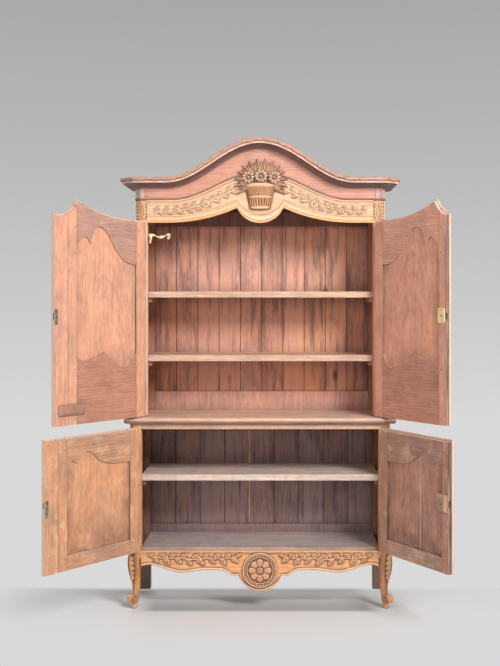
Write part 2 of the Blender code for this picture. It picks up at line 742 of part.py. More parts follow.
def cornice():
    """Frieze boards and crown moulding in one mitred sweep, with the roof boards between them."""
    path = crown_path()
    rings = []
    for i, (x, y, z) in enumerate(path):
        before, after = path[max(i - 1, 0)], path[min(i + 1, len(path) - 1)]
        normals = []
        for first, second in ((before, path[i]), (path[i], after)):
            along = Vector((second[0] - first[0], second[1] - first[1]))
            if along.length > 1e-9:
                along.normalize()
                normals.append(Vector((along.y, -along.x)))
        first, last = normals[0], normals[-1]
        out = (first + last) / (1.0 + first.dot(last))
        steep = (after[2] - before[2]) / max(abs(after[0] - before[0]), 0.01)
        lean = math.sqrt(1.0 + steep ** 2)
        foot = frieze_line(x) + GAP
        section = [(-FRIEZE_THICK, foot), (0.0, foot)]
        section += [(reach, z + up * lean) for reach, up in crown_profile()]
        rings.append([(x + out.x * reach, y + out.y * reach, height) for reach, height in section])
    half, front = UPPER_WIDTH / 2 - FRIEZE_THICK / 2, UPPER_FRONT - FRIEZE_PROUD + FRIEZE_THICK / 2
    corner, behind = half - UPPER_CANT, UPPER_FRONT + RAIL_THICK + GAP
    right = [(FRIEZE_HALF_SPAN, behind), (FRIEZE_HALF_SPAN, front), (corner, front),
             (half, front + UPPER_CANT), (half, BACK - INSET)]
    outline = [*mirror_points(reversed(right), -1), *right]
    return join(loft(rings), plate(outline, ROOF_UNDER, ROOF_UNDER + ROOF_THICK, upright=False))


def basket():
    """The carved basket on the middle of the rail: a cup, three flowers and a fan of leaves."""
    wall = UPPER_FRONT - FRIEZE_PROUD - GAP
    base = UPPER_TOP - BASKET_DROP
    rim = base + BASKET_HEIGHT
    neck = BASKET_RIM_R - BASKET_LIP
    profile = [(0.0, rim), (BASKET_RIM_R, rim), (BASKET_RIM_R, rim - BASKET_LIP_HEIGHT),
               (neck, rim - BASKET_LIP_HEIGHT - BASKET_LIP_ROUND)]
    for share in spread(0.15, 1.0, 5):
        radius = BASKET_BASE_R + (neck - BASKET_BASE_R) * (1 - share) ** 0.7
        profile.append((radius, rim - (rim - base) * share))
    profile.append((0.0, base))
    cup = turned(profile, BASKET_SIDES, (0.0, 0.0, 0.0))
    for point in cup.data.vertices:
        point.co.y = wall + point.co.y * BASKET_DEPTH / BASKET_RIM_R
    centre = rim + FAN_LIFT
    leaves = []
    for i in range(FAN_LEAVES * 4 + 1):
        angle = math.radians(-8.0) + math.radians(196.0) * i / (FAN_LEAVES * 4)
        ripple = FAN_NOTCH + (1 - FAN_NOTCH) * abs(math.sin(math.pi * i / 4))
        squeeze = FAN_SQUEEZE + (1 - FAN_SQUEEZE) * abs(math.cos(angle))
        reach = FAN_R * ripple
        leaves.append((reach * math.cos(angle), centre + reach * squeeze * math.sin(angle)))
    fan = plate(leaves, wall - FAN_THICK, wall + FAN_OVERLAP)
    flowers = []
    for place, share in ((-1, 1.0), (0, 0.72), (1, 1.0)):
        x, lift = place * FLOWER_SPREAD, share * FLOWER_RISE
        bm = bmesh.new()
        size = Matrix.Diagonal((FLOWER_R, BASKET_DEPTH * 0.9, FLOWER_R, 1.0))
        bmesh.ops.create_uvsphere(bm, u_segments=14, v_segments=8, radius=1.0,
                                  matrix=Matrix.Translation((x, wall - FLOWER_SET, rim + lift)) @ size)
        flowers.append(to_object(bm))
    made = join(fan, cup, *flowers)
    behind = box((-1.0, wall, base - 1.0), (1.0, wall + 1.0, rim + 1.0))
    return cut(made, behind)


class Door:
    """One door: its members are drawn in u, the distance from the opening's hinge edge, and height z."""

    def __init__(self, name, side, body):
        self.name = name
        self.side = side
        self.opening = UPPER_OPENING if body == "upper" else LOWER_OPENING
        self.front = UPPER_FRONT if body == "upper" else FRONT
        self.centre_width = UPPER_FALSE_STILE if body == "upper" else LOWER_FALSE_STILE
        self.frame_width = (self.opening - self.centre_width) / 2 + side * DOOR_OFFSET
        self.bottom = WAIST_TOP + UPPER_DOOR_RISE if body == "upper" else APRON_TOP + UPPER_DOOR_RISE
        self.arched = body == "upper"
        self.inner = HINGE_STILE
        self.outer = self.frame_width - (LEFT_MEETING_STILE if side < 0 else RIGHT_MEETING_STILE)
        self.face = AXIS_FORWARD - SEAT_GAP - LIP_THICK
        self.seat = AXIS_FORWARD - SEAT_GAP
        self.rear = self.face + DOOR_THICK

    def top(self, u):
        """Height of the opening's upper edge over the place u."""
        return rail_edge(self.opening / 2 - u) if self.arched else LOWER_OPEN_TOP

    def stations(self, low, high):
        """Places between two limits where the upper edge needs a point."""
        if not self.arched:
            return [low, high]
        middle = self.opening / 2
        return [middle + x for x in rail_stations(low - middle, high - middle)]

    def hinges(self):
        """Heights where the hinge halves of this door meet."""
        return hinge_heights(self.bottom, self.top(0.0))

    def across_panel(self, points, base, unit):
        """Draw a smooth line through (share of the panel's width, share of unit above base) points."""
        width = self.outer - self.inner
        return smooth_line([(self.inner + share * width, base + level * unit) for share, level in points])

    def panel_top(self):
        """Scrolled line where the top rail ends over the panel."""
        if self.arched:
            base, drop, hollow, ear = UPPER_OPEN_TOP, UPPER_PANEL_DROP, UPPER_HOLLOW, UPPER_EAR
        else:
            base, drop, hollow, ear = LOWER_OPEN_TOP, LOWER_PANEL_DROP, LOWER_HOLLOW, LOWER_EAR
        return [*self.across_panel(hollow, base, drop), *self.across_panel(ear, base, drop)[1:]]

    def panel_bottom(self):
        """Line where the bottom rail ends under the panel."""
        if self.arched:
            return self.across_panel(UPPER_FOOT_LINE, self.bottom, UPPER_FOOT_HEIGHT)
        height = self.bottom + LOWER_FOOT_HEIGHT
        return [(self.inner, height), (self.outer, height)]

    def place(self, outline):
        """Turn (u, z) points into the door's own (x, z) points about its hinge axis."""
        return [(-self.side * (u + AXIS_OUT), z) for u, z in outline]

    def slab(self, outline, near, far):
        """Extrude (u, z) points between two depths behind the hinge axis."""
        return plate(self.place(outline), near, far)

    def block(self, low, high):
        """A box between two (u, depth, z) corners."""
        xs = sorted((-self.side * (low[0] + AXIS_OUT), -self.side * (high[0] + AXIS_OUT)))
        return box((xs[0], low[1], low[2]), (xs[1], high[1], high[2]))

    def upright(self, low, high, top_gap, lift=0.0):
        """Outline of an upright member from the door's bottom to the shaped top edge."""
        shaped = [(u, self.top(u) + top_gap) for u in reversed(self.stations(low, high))]
        return [(low, self.bottom + lift), (high, self.bottom + lift), *shaped]

    def panel_outline(self, grow):
        """Outline of the panel: tongues into the stiles, a plain neck into each deep rail slot."""
        tongue, step, neck = PANEL_TONGUE + grow, PANEL_STEP + grow, PANEL_NECK - grow
        top, bottom = self.panel_top(), self.panel_bottom()
        high = max(z for _, z in top) + tongue
        low = min(z for _, z in bottom) - tongue
        left_top, right_top = top[0][1] + step, top[-1][1] + step
        left_low, right_low = (max(bottom[end][1] - step, low) for end in (0, -1))
        e0, e1 = self.inner, self.outer
        points = [(e0 + neck, low), (e1 - neck, low), (e1 - neck, right_low), (e1 + tongue, right_low),
                  (e1 + tongue, right_top), (e1 - neck, right_top), (e1 - neck, high), (e0 + neck, high),
                  (e0 + neck, left_top), (e0 - tongue, left_top), (e0 - tongue, left_low),
                  (e0 + neck, left_low)]
        return [point for point, after in zip(points, [*points[1:], points[0]]) if point != after]

    def panel_solid(self, grow=0.0):
        """The panel, or with grow the hollow that it lies in."""
        near = self.face + PANEL_SET - grow
        return self.slab(self.panel_outline(grow), near, near + PANEL_THICK + 2 * grow)

    def tenons(self, grow=0.0):
        """Tenons of both rails at both stiles: {(rail, stile): solid}, or with grow their mortises."""
        top, bottom = self.panel_top(), self.panel_bottom()
        depth = self.face + PANEL_SET + PANEL_THICK / 2
        half = TENON_THICK / 2 + grow
        shoulder = PANEL_STEP + TENON_ROOT
        spans = {}
        for stile, edge, into, end in (("hinge", self.inner, -1, 0), ("meeting", self.outer, 1, -1)):
            far = edge + into * (TENON_LENGTH + grow)
            start = edge - into * TENON_ROOT
            low_u, high_u = sorted((start, far))
            roof = min(self.top(edge), self.top(far)) - TENON_SHOULDER
            spans["top", stile] = (low_u, high_u, top[end][1] + shoulder, roof)
            spans["bottom", stile] = (low_u, high_u, self.bottom + TENON_SHOULDER,
                                      bottom[end][1] - shoulder)
        return {key: self.block((low_u, depth - half, low - grow), (high_u, depth + half, high + grow))
                for key, (low_u, high_u, low, high) in spans.items()}

    def stile(self, low, high, key, lip_low, lip_high):
        """An upright frame member with its lip, the panel groove and both mortises."""
        lip_start = low - lip_low if lip_low else low + INSET
        lip_end = high + lip_high if lip_high else high - INSET
        lip = self.upright(lip_start, lip_end, LIP, INSET)
        body = self.upright(low, high, -DOOR_GAP)
        made = join(self.slab(body, self.face, self.rear), self.slab(lip, self.face + INSET, self.seat))
        mortises = self.tenons(GAP)
        wanted = [mortises.pop(("top", key)), mortises.pop(("bottom", key))]
        for spare in mortises.values():
            bpy.data.objects.remove(spare)
        return cut(made, self.panel_solid(GAP), *wanted)

    def rail(self, key):
        """A cross member between the stiles, slotted for the panel, with a tenon at each end."""
        e0, e1 = self.inner + GAP, self.outer - GAP
        if key == "top":
            line = [(min(max(u, e0), e1), z) for u, z in self.panel_top()]
            body = [*line, *((u, self.top(u) - DOOR_GAP) for u in reversed(self.stations(e0, e1)))]
            places = self.stations(e0 + INSET, e1 - INSET)
            lip = [*((u, self.top(u) - 2 * LIP) for u in places),
                   *((u, self.top(u) + LIP) for u in reversed(places))]
            made = join(self.slab(body, self.face, self.rear), self.slab(lip, self.face + INSET, self.seat))
        else:
            line = [(min(max(u, e0), e1), z) for u, z in self.panel_bottom()]
            made = self.slab([(e0, self.bottom), (e1, self.bottom), *reversed(line)], self.face, self.rear)
        made = cut(made, self.panel_solid(GAP))
        found = self.tenons()
        wanted = [found.pop((key, "hinge")), found.pop((key, "meeting"))]
        for spare in found.values():
            bpy.data.objects.remove(spare)
        return join(made, *wanted)

    def wing_slot(self, height):
        """Slot in the hinge stile's edge for a hinge's moving wing."""
        half = WING_THICK / 2 + GAP
        top = height + KNUCKLE_HEIGHT
        return self.block((-LIP - PAST, -half, top - WING_HEIGHT - GAP),
                          (WING_REACH - AXIS_OUT + GAP, half, top + GAP))

    def bolt_slot(self, height):
        """Channel in the right door's meeting stile that the lock bolt slides in."""
        depth = self.bolt_depth()
        half = BOLT_THICK / 2 + BOLT_GAP
        reach = BOLT_HEIGHT / 2 + BOLT_GAP
        edge = self.frame_width
        return self.block((edge - BOLT_LENGTH - 2 * BOLT_GAP, depth - half, height - reach),
                          (edge + PAST, depth + half, height + reach))

    def bolt_depth(self):
        """Depth of the bolt's middle behind the hinge axis."""
        return (self.seat + LAP_GAP + self.rear) / 2

    def bolt(self, height):
        """The lock's sliding bolt, drawn back."""
        depth = self.bolt_depth()
        edge = self.frame_width - BOLT_GAP
        return self.block((edge - BOLT_LENGTH, depth - BOLT_THICK / 2, height - BOLT_HEIGHT / 2),
                          (edge, depth + BOLT_THICK / 2, height + BOLT_HEIGHT / 2))

    def lock_case(self, height):
        """The wooden lock case on the inside of the meeting stile."""
        edge = self.frame_width - LOCK_CASE_IN
        made = self.block((edge - LOCK_CASE_WIDTH, self.rear + GAP, height - LOCK_CASE_HEIGHT / 2),
                          (edge, self.rear + GAP + LOCK_CASE_THICK, height + LOCK_CASE_HEIGHT / 2))
        bevel = made.modifiers.new("soft_edges", "BEVEL")
        bevel.width = LOCK_CASE_BEVEL
        bevel.segments = 1
        return settle(made)

    def false_stile(self, strike):
        """The wide middle strip on the left door, half lapped for the right door and cut for its bolt."""
        start, end = self.frame_width + GAP, self.frame_width + self.centre_width - LAP_GAP
        body = self.slab(self.upright(start, end - LAP, -DOOR_GAP), self.face, self.rear)
        lip = self.slab(self.upright(start + INSET, end - LAP - INSET, LIP, INSET),
                        self.face + INSET, self.seat)
        tongue = self.slab(self.upright(start + LAP, end, -DOOR_GAP - INSET, INSET),
                           self.seat + LAP_GAP, self.rear - INSET)
        middle, half_bead = self.frame_width + self.centre_width / 2, FALSE_STILE_BEAD / 2
        bead = self.slab(self.upright(middle - half_bead, middle + half_bead, -DOOR_GAP - INSET, INSET),
                         self.face - FALSE_STILE_PROUD, self.face + OVERLAP)
        made = join(body, lip, tongue, bead)
        depth = self.bolt_depth()
        half, reach = BOLT_THICK / 2 + BOLT_GAP, BOLT_HEIGHT / 2 + BOLT_GAP
        return cut(made, self.block((end - BOLT_THROW - LAP_GAP, depth - half, strike - reach),
                                    (end + PAST, depth + half, strike + reach)))


def fixed_hinge(opening, front, side, height):
    """Lower hinge half: a knuckle with the pin and a wing that is driven into the post."""
    low = height - KNUCKLE_HEIGHT
    x, y = side * (opening / 2 + AXIS_OUT), front - AXIS_FORWARD
    profile = [(0.0, height + PIN_HEIGHT), (PIN_R, height + PIN_HEIGHT), (PIN_R, height - GAP),
               (KNUCKLE_R, height - GAP), (KNUCKLE_R, low), (KNUCKLE_R * 0.55, low - TIP_HEIGHT * 0.35),
               (KNUCKLE_R * 0.75, low - TIP_HEIGHT * 0.65), (0.0, low - TIP_HEIGHT)]
    made = turned(profile, KNUCKLE_SIDES, (x, y, 0.0))
    half = WING_THICK / 2
    return join(made, box((x - half, y, low), (x + half, y + WING_REACH, low + WING_HEIGHT)))


def moving_hinge(door, height):
    """Upper hinge half: a bored knuckle that drops over the pin, with a wing in the door's edge."""
    top = height + KNUCKLE_HEIGHT
    bore_top = height + PIN_HEIGHT + PIN_END_GAP
    profile = [(0.0, top + TIP_HEIGHT), (KNUCKLE_R * 0.75, top + TIP_HEIGHT * 0.65),
               (KNUCKLE_R * 0.55, top + TIP_HEIGHT * 0.35), (KNUCKLE_R, top), (KNUCKLE_R, height + GAP),
               (PIN_BORE_R, height + GAP), (PIN_BORE_R, bore_top), (0.0, bore_top)]
    made = turned(profile, KNUCKLE_SIDES, (0.0, 0.0, 0.0))
    half = WING_THICK / 2
    inner = -AXIS_OUT + KNUCKLE_R * 0.75
    return join(made, door.block((inner, -half, top - WING_HEIGHT), (WING_REACH - AXIS_OUT, half, top)))


def build_door(door, root, opened, lock_height):
    """Make one door's pieces on an empty that stands on its hinge axis, opened by an angle."""
    place = (door.side * (door.opening / 2 + AXIS_OUT), door.front - AXIS_FORWARD, 0.0)
    pivot = empty(door.name + "_axis", root, place, door.side * opened)
    left = door.side < 0
    look = wood("oak_door", OAK_LIGHT)
    lap = 0.0 if left else LAP
    hinge_stile = door.stile(0.0 + DOOR_GAP, door.inner, "hinge", LIP + DOOR_GAP, 0.0)
    hinge_stile = cut(hinge_stile, *(door.wing_slot(height) for height in door.hinges()))
    meeting_stile = door.stile(door.outer, door.frame_width, "meeting", 0.0, lap)
    if not left:
        meeting_stile = cut(meeting_stile, door.bolt_slot(lock_height))
        piece(door.name + "_lock_bolt", door.bolt(lock_height), iron(), pivot)
    else:
        piece(door.name + "_false_stile", door.false_stile(lock_height), look, pivot)
    piece(door.name + "_hinge_stile", hinge_stile, look, pivot)
    piece(door.name + "_meeting_stile", meeting_stile, look, pivot)
    piece(door.name + "_top_rail", door.rail("top"), look, pivot)
    piece(door.name + "_bottom_rail", door.rail("bottom"), look, pivot)
    piece(door.name + "_panel", door.panel_solid(), wood("oak_panel", OAK), pivot)
    for label, height in zip(("lower", "upper"), door.hinges()):
        piece(door.name + "_" + label + "_hinge_cap", moving_hinge(door, height), iron(), pivot)
        fixed = fixed_hinge(door.opening, door.front, door.side, height)
        piece(door.name + "_" + label + "_hinge_pin", fixed, iron(), root)
    return pivot


def build_lower_body(root, left_door, right_door):
    """Legs, rails, sides, back, floor, shelf and waist of the lower body."""
    honey, inside = wood("oak_carved", OAK_HONEY), wood("oak_inside", OAK_DARK)
    dark = wood("oak_case", OAK_RED)
    for side, label, door in ((-1, "left", left_door), (1, "right", right_door)):
        piece("front_" + label + "_leg", front_leg(side, door.hinges()), honey, root)
        frame = side_frame(side, LOWER_WIDTH, LOWER_OPENING, LOWER_POST_DEPTH, FRONT,
                           APRON_TOP - SIDE_RAIL_HEIGHT, 0.0, WAIST_UNDER - GAP,
                           [LOWER_SHELF_TOP - SHELF_THICK], FLOOR_TOP)
        piece("lower_" + label + "_side", frame, dark, root)
    piece("apron_rail", apron(), honey, root)
    piece("waist_top", waist(), dark, root)
    rails = [(FLOOR_TOP - FLOOR_THICK, FLOOR_TOP + LOWER_BACK_RAIL),
             (WAIST_UNDER - TOP_BACK_RAIL, WAIST_UNDER - GAP)]
    boards = back_panel(LOWER_OPENING, APRON_TOP - SIDE_RAIL_HEIGHT, WAIST_UNDER - GAP, BACK_BOARDS_LOWER,
                        rails, (3,))
    piece("lower_back", boards, inside, root)
    half = LOWER_OPENING / 2 - GAP
    rail_face = BACK - BACK_SET_IN - BACK_BOARD_THICK - BACK_RAIL_THICK - GAP
    floor = box((-half, FRONT + APRON_THICK + GAP, FLOOR_TOP - FLOOR_THICK), (half, rail_face, FLOOR_TOP))
    piece("lower_floor", floor, inside, root)
    piece("lower_shelf", shelf(LOWER_OPENING, FRONT, LOWER_SHELF_TOP), inside, root)


def build_upper_body(root, left_door, right_door):
    """Posts, rail, sides, back, shelves and cornice of the upper body."""
    honey, inside = wood("oak_carved", OAK_HONEY), wood("oak_inside", OAK_DARK)
    dark = wood("oak_case", OAK_RED)
    low_shelf, high_shelf = WAIST_TOP + MIDDLE_SHELF_RISE, WAIST_TOP + UPPER_SHELF_RISE
    for side, label, door in ((-1, "left", left_door), (1, "right", right_door)):
        piece("upper_" + label + "_post", upper_post(side, door.hinges()), honey, root)
        frame = side_frame(side, UPPER_WIDTH, UPPER_OPENING, UPPER_POST_DEPTH, UPPER_FRONT, WAIST_TOP + GAP,
                           WAIST_TOP + GAP, UPPER_TOP,
                           [low_shelf - SHELF_THICK, high_shelf - SHELF_THICK], None)
        piece("upper_" + label + "_side", frame, dark, root)
    piece("carved_rail", carved_rail(), honey, root)
    bottom = WAIST_TOP + GAP
    rails = [(bottom, bottom + UPPER_BACK_RAIL), (UPPER_OPEN_TOP, UPPER_OPEN_TOP + TOP_BACK_RAIL)]
    boards = back_panel(UPPER_OPENING, bottom, ROOF_UNDER - GAP, BACK_BOARDS_UPPER, rails, ())
    piece("upper_back", boards, inside, root)
    piece("middle_shelf", shelf(UPPER_OPENING, UPPER_FRONT, low_shelf), inside, root)
    piece("upper_shelf", shelf(UPPER_OPENING, UPPER_FRONT, high_shelf), inside, root)
    piece("cornice", cornice(), dark, root)
    piece("flower_basket", basket(), honey, root)


def centre_on_floor(root):
    """Move the root so that the open buffet's box stands centred on the origin, to the millimetre."""
    bpy.context.view_layer.update()
    corners = [made.matrix_world @ Vector(corner) for made in PIECES.objects if made.type == "MESH"
               for corner in made.bound_box]
    for axis in (0, 1):
        values = [corner[axis] for corner in corners]
        root.location[axis] = -round((min(values) + max(values)) / 2, 3)
    print("root is moved by", tuple(round(value, 4) for value in root.location))


def main():
    """Build the whole buffet."""
    root = empty("buffet")
    doors = {(body, label): Door(body + "_" + label + "_door", side, body)
             for body in ("upper", "lower") for side, label in ((-1, "left"), (1, "right"))}
    build_lower_body(root, doors["lower", "left"], doors["lower", "right"])
    build_upper_body(root, doors["upper", "left"], doors["upper", "right"])
    upper_lock, lower_lock = WAIST_TOP + UPPER_LOCK_RISE, APRON_TOP + LOWER_LOCK_RISE
    build_door(doors["upper", "left"], root, UPPER_LEFT_OPEN, upper_lock)
    build_door(doors["upper", "right"], root, UPPER_RIGHT_OPEN, upper_lock)
    build_door(doors["lower", "left"], root, LOWER_LEFT_OPEN, lower_lock)
    pivot = build_door(doors["lower", "right"], root, LOWER_RIGHT_OPEN, lower_lock)
    case = doors["lower", "right"].lock_case(lower_lock)
    piece("lower_right_door_lock_case", case, wood("oak_panel", OAK), pivot)
    centre_on_floor(root)


main()
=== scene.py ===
"""Looks of a two-part oak buffet that stands with its four doors open.

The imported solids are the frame. New pieces are carved and moulded surfaces worked out with numpy, as
functions of two parameters or as profiles carried along a path, and every surface gets an oak, iron or
brass finish that is worked out from Object coordinates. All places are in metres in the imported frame.
"""

import math
from collections import namedtuple
from functools import partialmethod

import bmesh
import bpy
import numpy as np
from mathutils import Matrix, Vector


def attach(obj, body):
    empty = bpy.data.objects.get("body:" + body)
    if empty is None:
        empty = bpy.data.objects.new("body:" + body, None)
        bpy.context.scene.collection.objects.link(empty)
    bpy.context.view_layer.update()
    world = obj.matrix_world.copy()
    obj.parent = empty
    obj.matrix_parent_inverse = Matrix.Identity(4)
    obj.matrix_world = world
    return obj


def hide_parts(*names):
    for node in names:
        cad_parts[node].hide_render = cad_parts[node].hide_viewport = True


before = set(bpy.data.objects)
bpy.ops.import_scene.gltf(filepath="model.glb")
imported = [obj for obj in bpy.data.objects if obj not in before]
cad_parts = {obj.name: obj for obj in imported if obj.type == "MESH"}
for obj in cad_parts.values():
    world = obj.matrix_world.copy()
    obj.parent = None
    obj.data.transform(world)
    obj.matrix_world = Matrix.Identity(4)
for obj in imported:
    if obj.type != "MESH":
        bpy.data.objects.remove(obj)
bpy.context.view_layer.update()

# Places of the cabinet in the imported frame; x and y below are about the cabinet's own middle
CENTRE_X = 0.047
CENTRE_Y = 0.275
UPPER_FRONT = -0.170
LOWER_FRONT = -0.230
FRIEZE_FRONT = UPPER_FRONT - 0.004
BACK = 0.230
WAIST_TOP = 0.958
UPPER_TOP = 2.049
OPEN_TOP = 1.936
APRON_TOP = 0.292
UPPER_HALF = 0.6315
UPPER_CANT = 0.027
UPPER_OPENING = 1.143
LOWER_OPENING = 1.190
SIDES = ((-1, "left"), (1, "right"))
TURN = 2 * np.pi

# Arched lines of rail, frieze and crown
RAIL_RISE = 0.075
RAIL_FLAT_X = 0.480
CUSP_X = 0.118
LOBE_DROP = 0.076
LOBE_R = (CUSP_X ** 2 + LOBE_DROP ** 2) / (2 * LOBE_DROP)
RISE_POWER = 2.17
FRIEZE_ARCH = 0.138
FRIEZE_HALF_SPAN = 0.4496
CROWN_ARCH = 0.198
CROWN_HALF_SPAN = 0.4799
CROWN_POWER = 1.1
CROWN_FOOT = 2.108
CROWN_PROJECTION = 0.074

# Doors, and what differs between those of the upper and the lower body
UPPER_FOOT = 0.326
LOWER_FOOT = 0.070
AXIS_OUT = 0.015
DOOR_FRONT = -0.0045
DOOR_INSIDE = 0.0235
HINGE_STILE = 0.066
MEETING_STILE = {-1: 0.056, 1: 0.046}
PANEL_SET = 0.0095
Body = namedtuple("Body", ("bottom", "top", "head_drop", "head_line", "foot_rise", "foot_line",
                           "peg_drop", "peg_rise", "grime_rise", "grime"))
UPPER = Body(
    bottom=0.961, top=OPEN_TOP, head_drop=0.215, foot_rise=UPPER_FOOT, peg_drop=0.17, peg_rise=0.26,
    grime_rise=0.76 * UPPER_FOOT, grime=0.45,
    head_line=((0.000, -1.000), (0.103, -0.981), (0.205, -0.912), (0.308, -0.763), (0.423, -0.493),
               (0.518, -0.274), (0.618, -0.186), (0.705, -0.256), (0.749, -0.428), (0.774, -0.577),
               (0.810, -0.474), (0.874, -0.428), (0.944, -0.502), (1.000, -0.651)),
    foot_line=((0.000, 0.988), (0.072, 0.834), (0.187, 0.761), (0.333, 0.822), (0.549, 1.000),
               (0.718, 0.939), (0.862, 0.902), (0.949, 0.933), (1.000, 0.985)))
LOWER = Body(
    bottom=0.295, top=0.900, head_drop=0.146, foot_rise=LOWER_FOOT, peg_drop=0.11, peg_rise=0.055,
    grime_rise=LOWER_FOOT, grime=0.9,
    head_line=((0.000, -1.000), (0.145, -1.000), (0.325, -0.966), (0.482, -0.829), (0.602, -0.562),
               (0.704, -0.452), (0.776, -0.575), (0.846, -0.808), (0.882, -0.726), (0.920, -0.705),
               (0.964, -0.753), (1.000, -0.849)),
    foot_line=((0.0, 1.0), (1.0, 1.0)))


class Door(namedtuple("Door", "x y side opened width body")):
    """One door as it is hung and opened."""

    @property
    def outer(self):
        """Where the panel ends and the meeting stile begins, from the hinge side."""
        return self.width - MEETING_STILE[self.side]


# Hinge axis about the cabinet's middle, side, degrees open, frame width, body
DOORS = {
    "upper_left_door": Door(-0.5865, -0.1765, -1, 126.0, 0.5240, UPPER),
    "upper_right_door": Door(0.5865, -0.1765, 1, 123.3, 0.5330, UPPER),
    "lower_left_door": Door(-0.6100, -0.2365, -1, 125.0, 0.5485, LOWER),
    "lower_right_door": Door(0.6100, -0.2365, 1, 118.8, 0.5575, LOWER),
}


# Shader expressions

class Value:
    """A shader socket that Python operators work on: each operator adds one Math node."""

    def __init__(self, finish, socket):
        self.finish = finish
        self.socket = socket

    def math(self, operation, *others):
        """Add a Math node that takes this value first, then the others."""
        return self.finish.add("ShaderNodeMath", {"operation": operation}, dict(enumerate((self, *others))))

    def turned_round(self, operation, other):
        """Add a Math node that takes a plain number first, then this value."""
        return self.finish.add("ShaderNodeMath", {"operation": operation}, {0: other, 1: self})

    __add__ = partialmethod(math, "ADD")
    __radd__ = partialmethod(turned_round, "ADD")
    __sub__ = partialmethod(math, "SUBTRACT")
    __rsub__ = partialmethod(turned_round, "SUBTRACT")
    __mul__ = partialmethod(math, "MULTIPLY")
    __rmul__ = partialmethod(turned_round, "MULTIPLY")
    __truediv__ = partialmethod(math, "DIVIDE")
    __gt__ = partialmethod(math, "GREATER_THAN")
    __lt__ = partialmethod(math, "LESS_THAN")


class Finish:
    """The nodes of one material, added one at a time."""

    def __init__(self, name):
        self.material = bpy.data.materials.new(name)
        self.material.use_nodes = True
        self.tree = self.material.node_tree
        self.shader = self.tree.nodes["Principled BSDF"]

    def add(self, kind, settings=None, inputs=None, output=0):
        """Add a node: its settings first, then its sockets' values or links; give one of its outputs."""
        node = self.tree.nodes.new(kind)
        for key, value in (settings or {}).items():
            if key == "stops":
                self.set_stops(node.color_ramp, value)
            else:
                setattr(node, key, value)
        for key, value in (inputs or {}).items():
            self.feed(node.inputs[key], value)
        return Value(self, node.outputs[output])

    def feed(self, socket, value):
        """Link a shader value to a socket, or set the socket to a plain number or colour."""
        if isinstance(value, Value):
            self.tree.links.new(value.socket, socket)
        elif isinstance(value, tuple) and len(value) == 3 and socket.type == "RGBA":
            socket.default_value = (*value, 1.0)
        else:
            socket.default_value = value

    @staticmethod
    def set_stops(ramp, stops):
        """Give a colour ramp its (place, grey or colour) stops."""
        while len(ramp.elements) < len(stops):
            ramp.elements.new(1.0)
        for element, (place, shade) in zip(ramp.elements, stops):
            element.position = place
            colour = shade if isinstance(shade, tuple) else (shade, shade, shade)
            element.color = (*colour, 1.0)

    def surface(self, **values):
        """Set the shader's sockets by name, with underscores for spaces."""
        for key, value in values.items():
            self.feed(self.shader.inputs[key.replace("_", " ")], value)
        return self.material

    def vector(self, operation, first, second):
        """Work on two vectors, part by part."""
        return self.add("ShaderNodeVectorMath", {"operation": operation}, {0: first, 1: second})

    def object_places(self):
        """Object coordinates."""
        return self.add("ShaderNodeTexCoord", None, None, "Object")

    def places(self, turn=0.0, shift=(0.0, 0.0, 0.0)):
        """Object coordinates about a point, turned about the vertical so that a door's width lies along X."""
        moved = self.vector("SUBTRACT", self.object_places(), shift)
        rotation = (0.0, 0.0, -math.radians(turn))
        return self.add("ShaderNodeMapping", None, {"Vector": moved, "Rotation": rotation})

    def noise(self, vector, scale, detail=2.0, roughness=0.5):
        """Cloudy noise between 0 and 1."""
        return self.add("ShaderNodeTexNoise", None,
                        {"Vector": vector, "Scale": scale, "Detail": detail, "Roughness": roughness})

    def ramp(self, value, *stops):
        """A smooth grey or colour ramp of a value."""
        return self.add("ShaderNodeValToRGB", {"stops": stops}, {"Fac": value})

    def mix(self, share, first, second, mode="MIX"):
        """Mix two colours."""
        return self.add("ShaderNodeMix", {"data_type": "RGBA", "blend_type": mode},
                        {0: share, 6: first, 7: second}, 2)

    def axis(self, vector, name):
        """One part of a vector."""
        return self.add("ShaderNodeSeparateXYZ", None, {"Vector": vector}, name)

    def given(self, name):
        """A share that the piece's own points carry."""
        return self.add("ShaderNodeAttribute", {"attribute_name": name}, None, "Fac")

    def hollows(self, reach):
        """How far a place lies in a corner or carved hollow: 1 deep inside, 0 in the open."""
        open_share = self.add("ShaderNodeAmbientOcclusion", {"samples": 6}, {"Distance": reach}, "AO")
        return self.ramp(open_share, (0.30, 1.0), (0.90, 0.0))

    def bumped(self, height, depth):
        """A Bump node's normal for a height between 0 and 1 that stands for a depth in metres."""
        return self.add("ShaderNodeBump", None, {"Height": height, "Strength": 0.6, "Distance": depth})


def tone(colour, share):
    """A darker or lighter shade of a colour, by one share or by one for each part."""
    shares = share if isinstance(share, tuple) else (share, share, share)
    return tuple(part * by for part, by in zip(colour, shares))


# Oak: noise scales are per metre, and the coordinates are squeezed along the grain
GRAIN = {"z": (1.0, 1.0, 0.05), "x": (0.05, 1.0, 1.0), "y": (1.0, 0.05, 1.0)}
CLOUD_SCALE = 10.0
BROAD_SCALE = 64.0
FINE_SCALE = 185.0
PORE_SCALE = 380.0
RING_RATE = 420.0
RING_SWAY = 18.0
FLAME_BEND = 2.4
FLAME_RISE = 0.16
GRIME_RISE = 0.16
WAX_ROUGHNESS = 0.55
PORE_DEPTH = 0.0008
SCUFFED = (0.86, 0.62, 0.42)
# Pale tone of proud carving: rubbed wear and a painted highlight
RUBBED_HIGHLIGHT = (0.93, 0.72, 0.54)


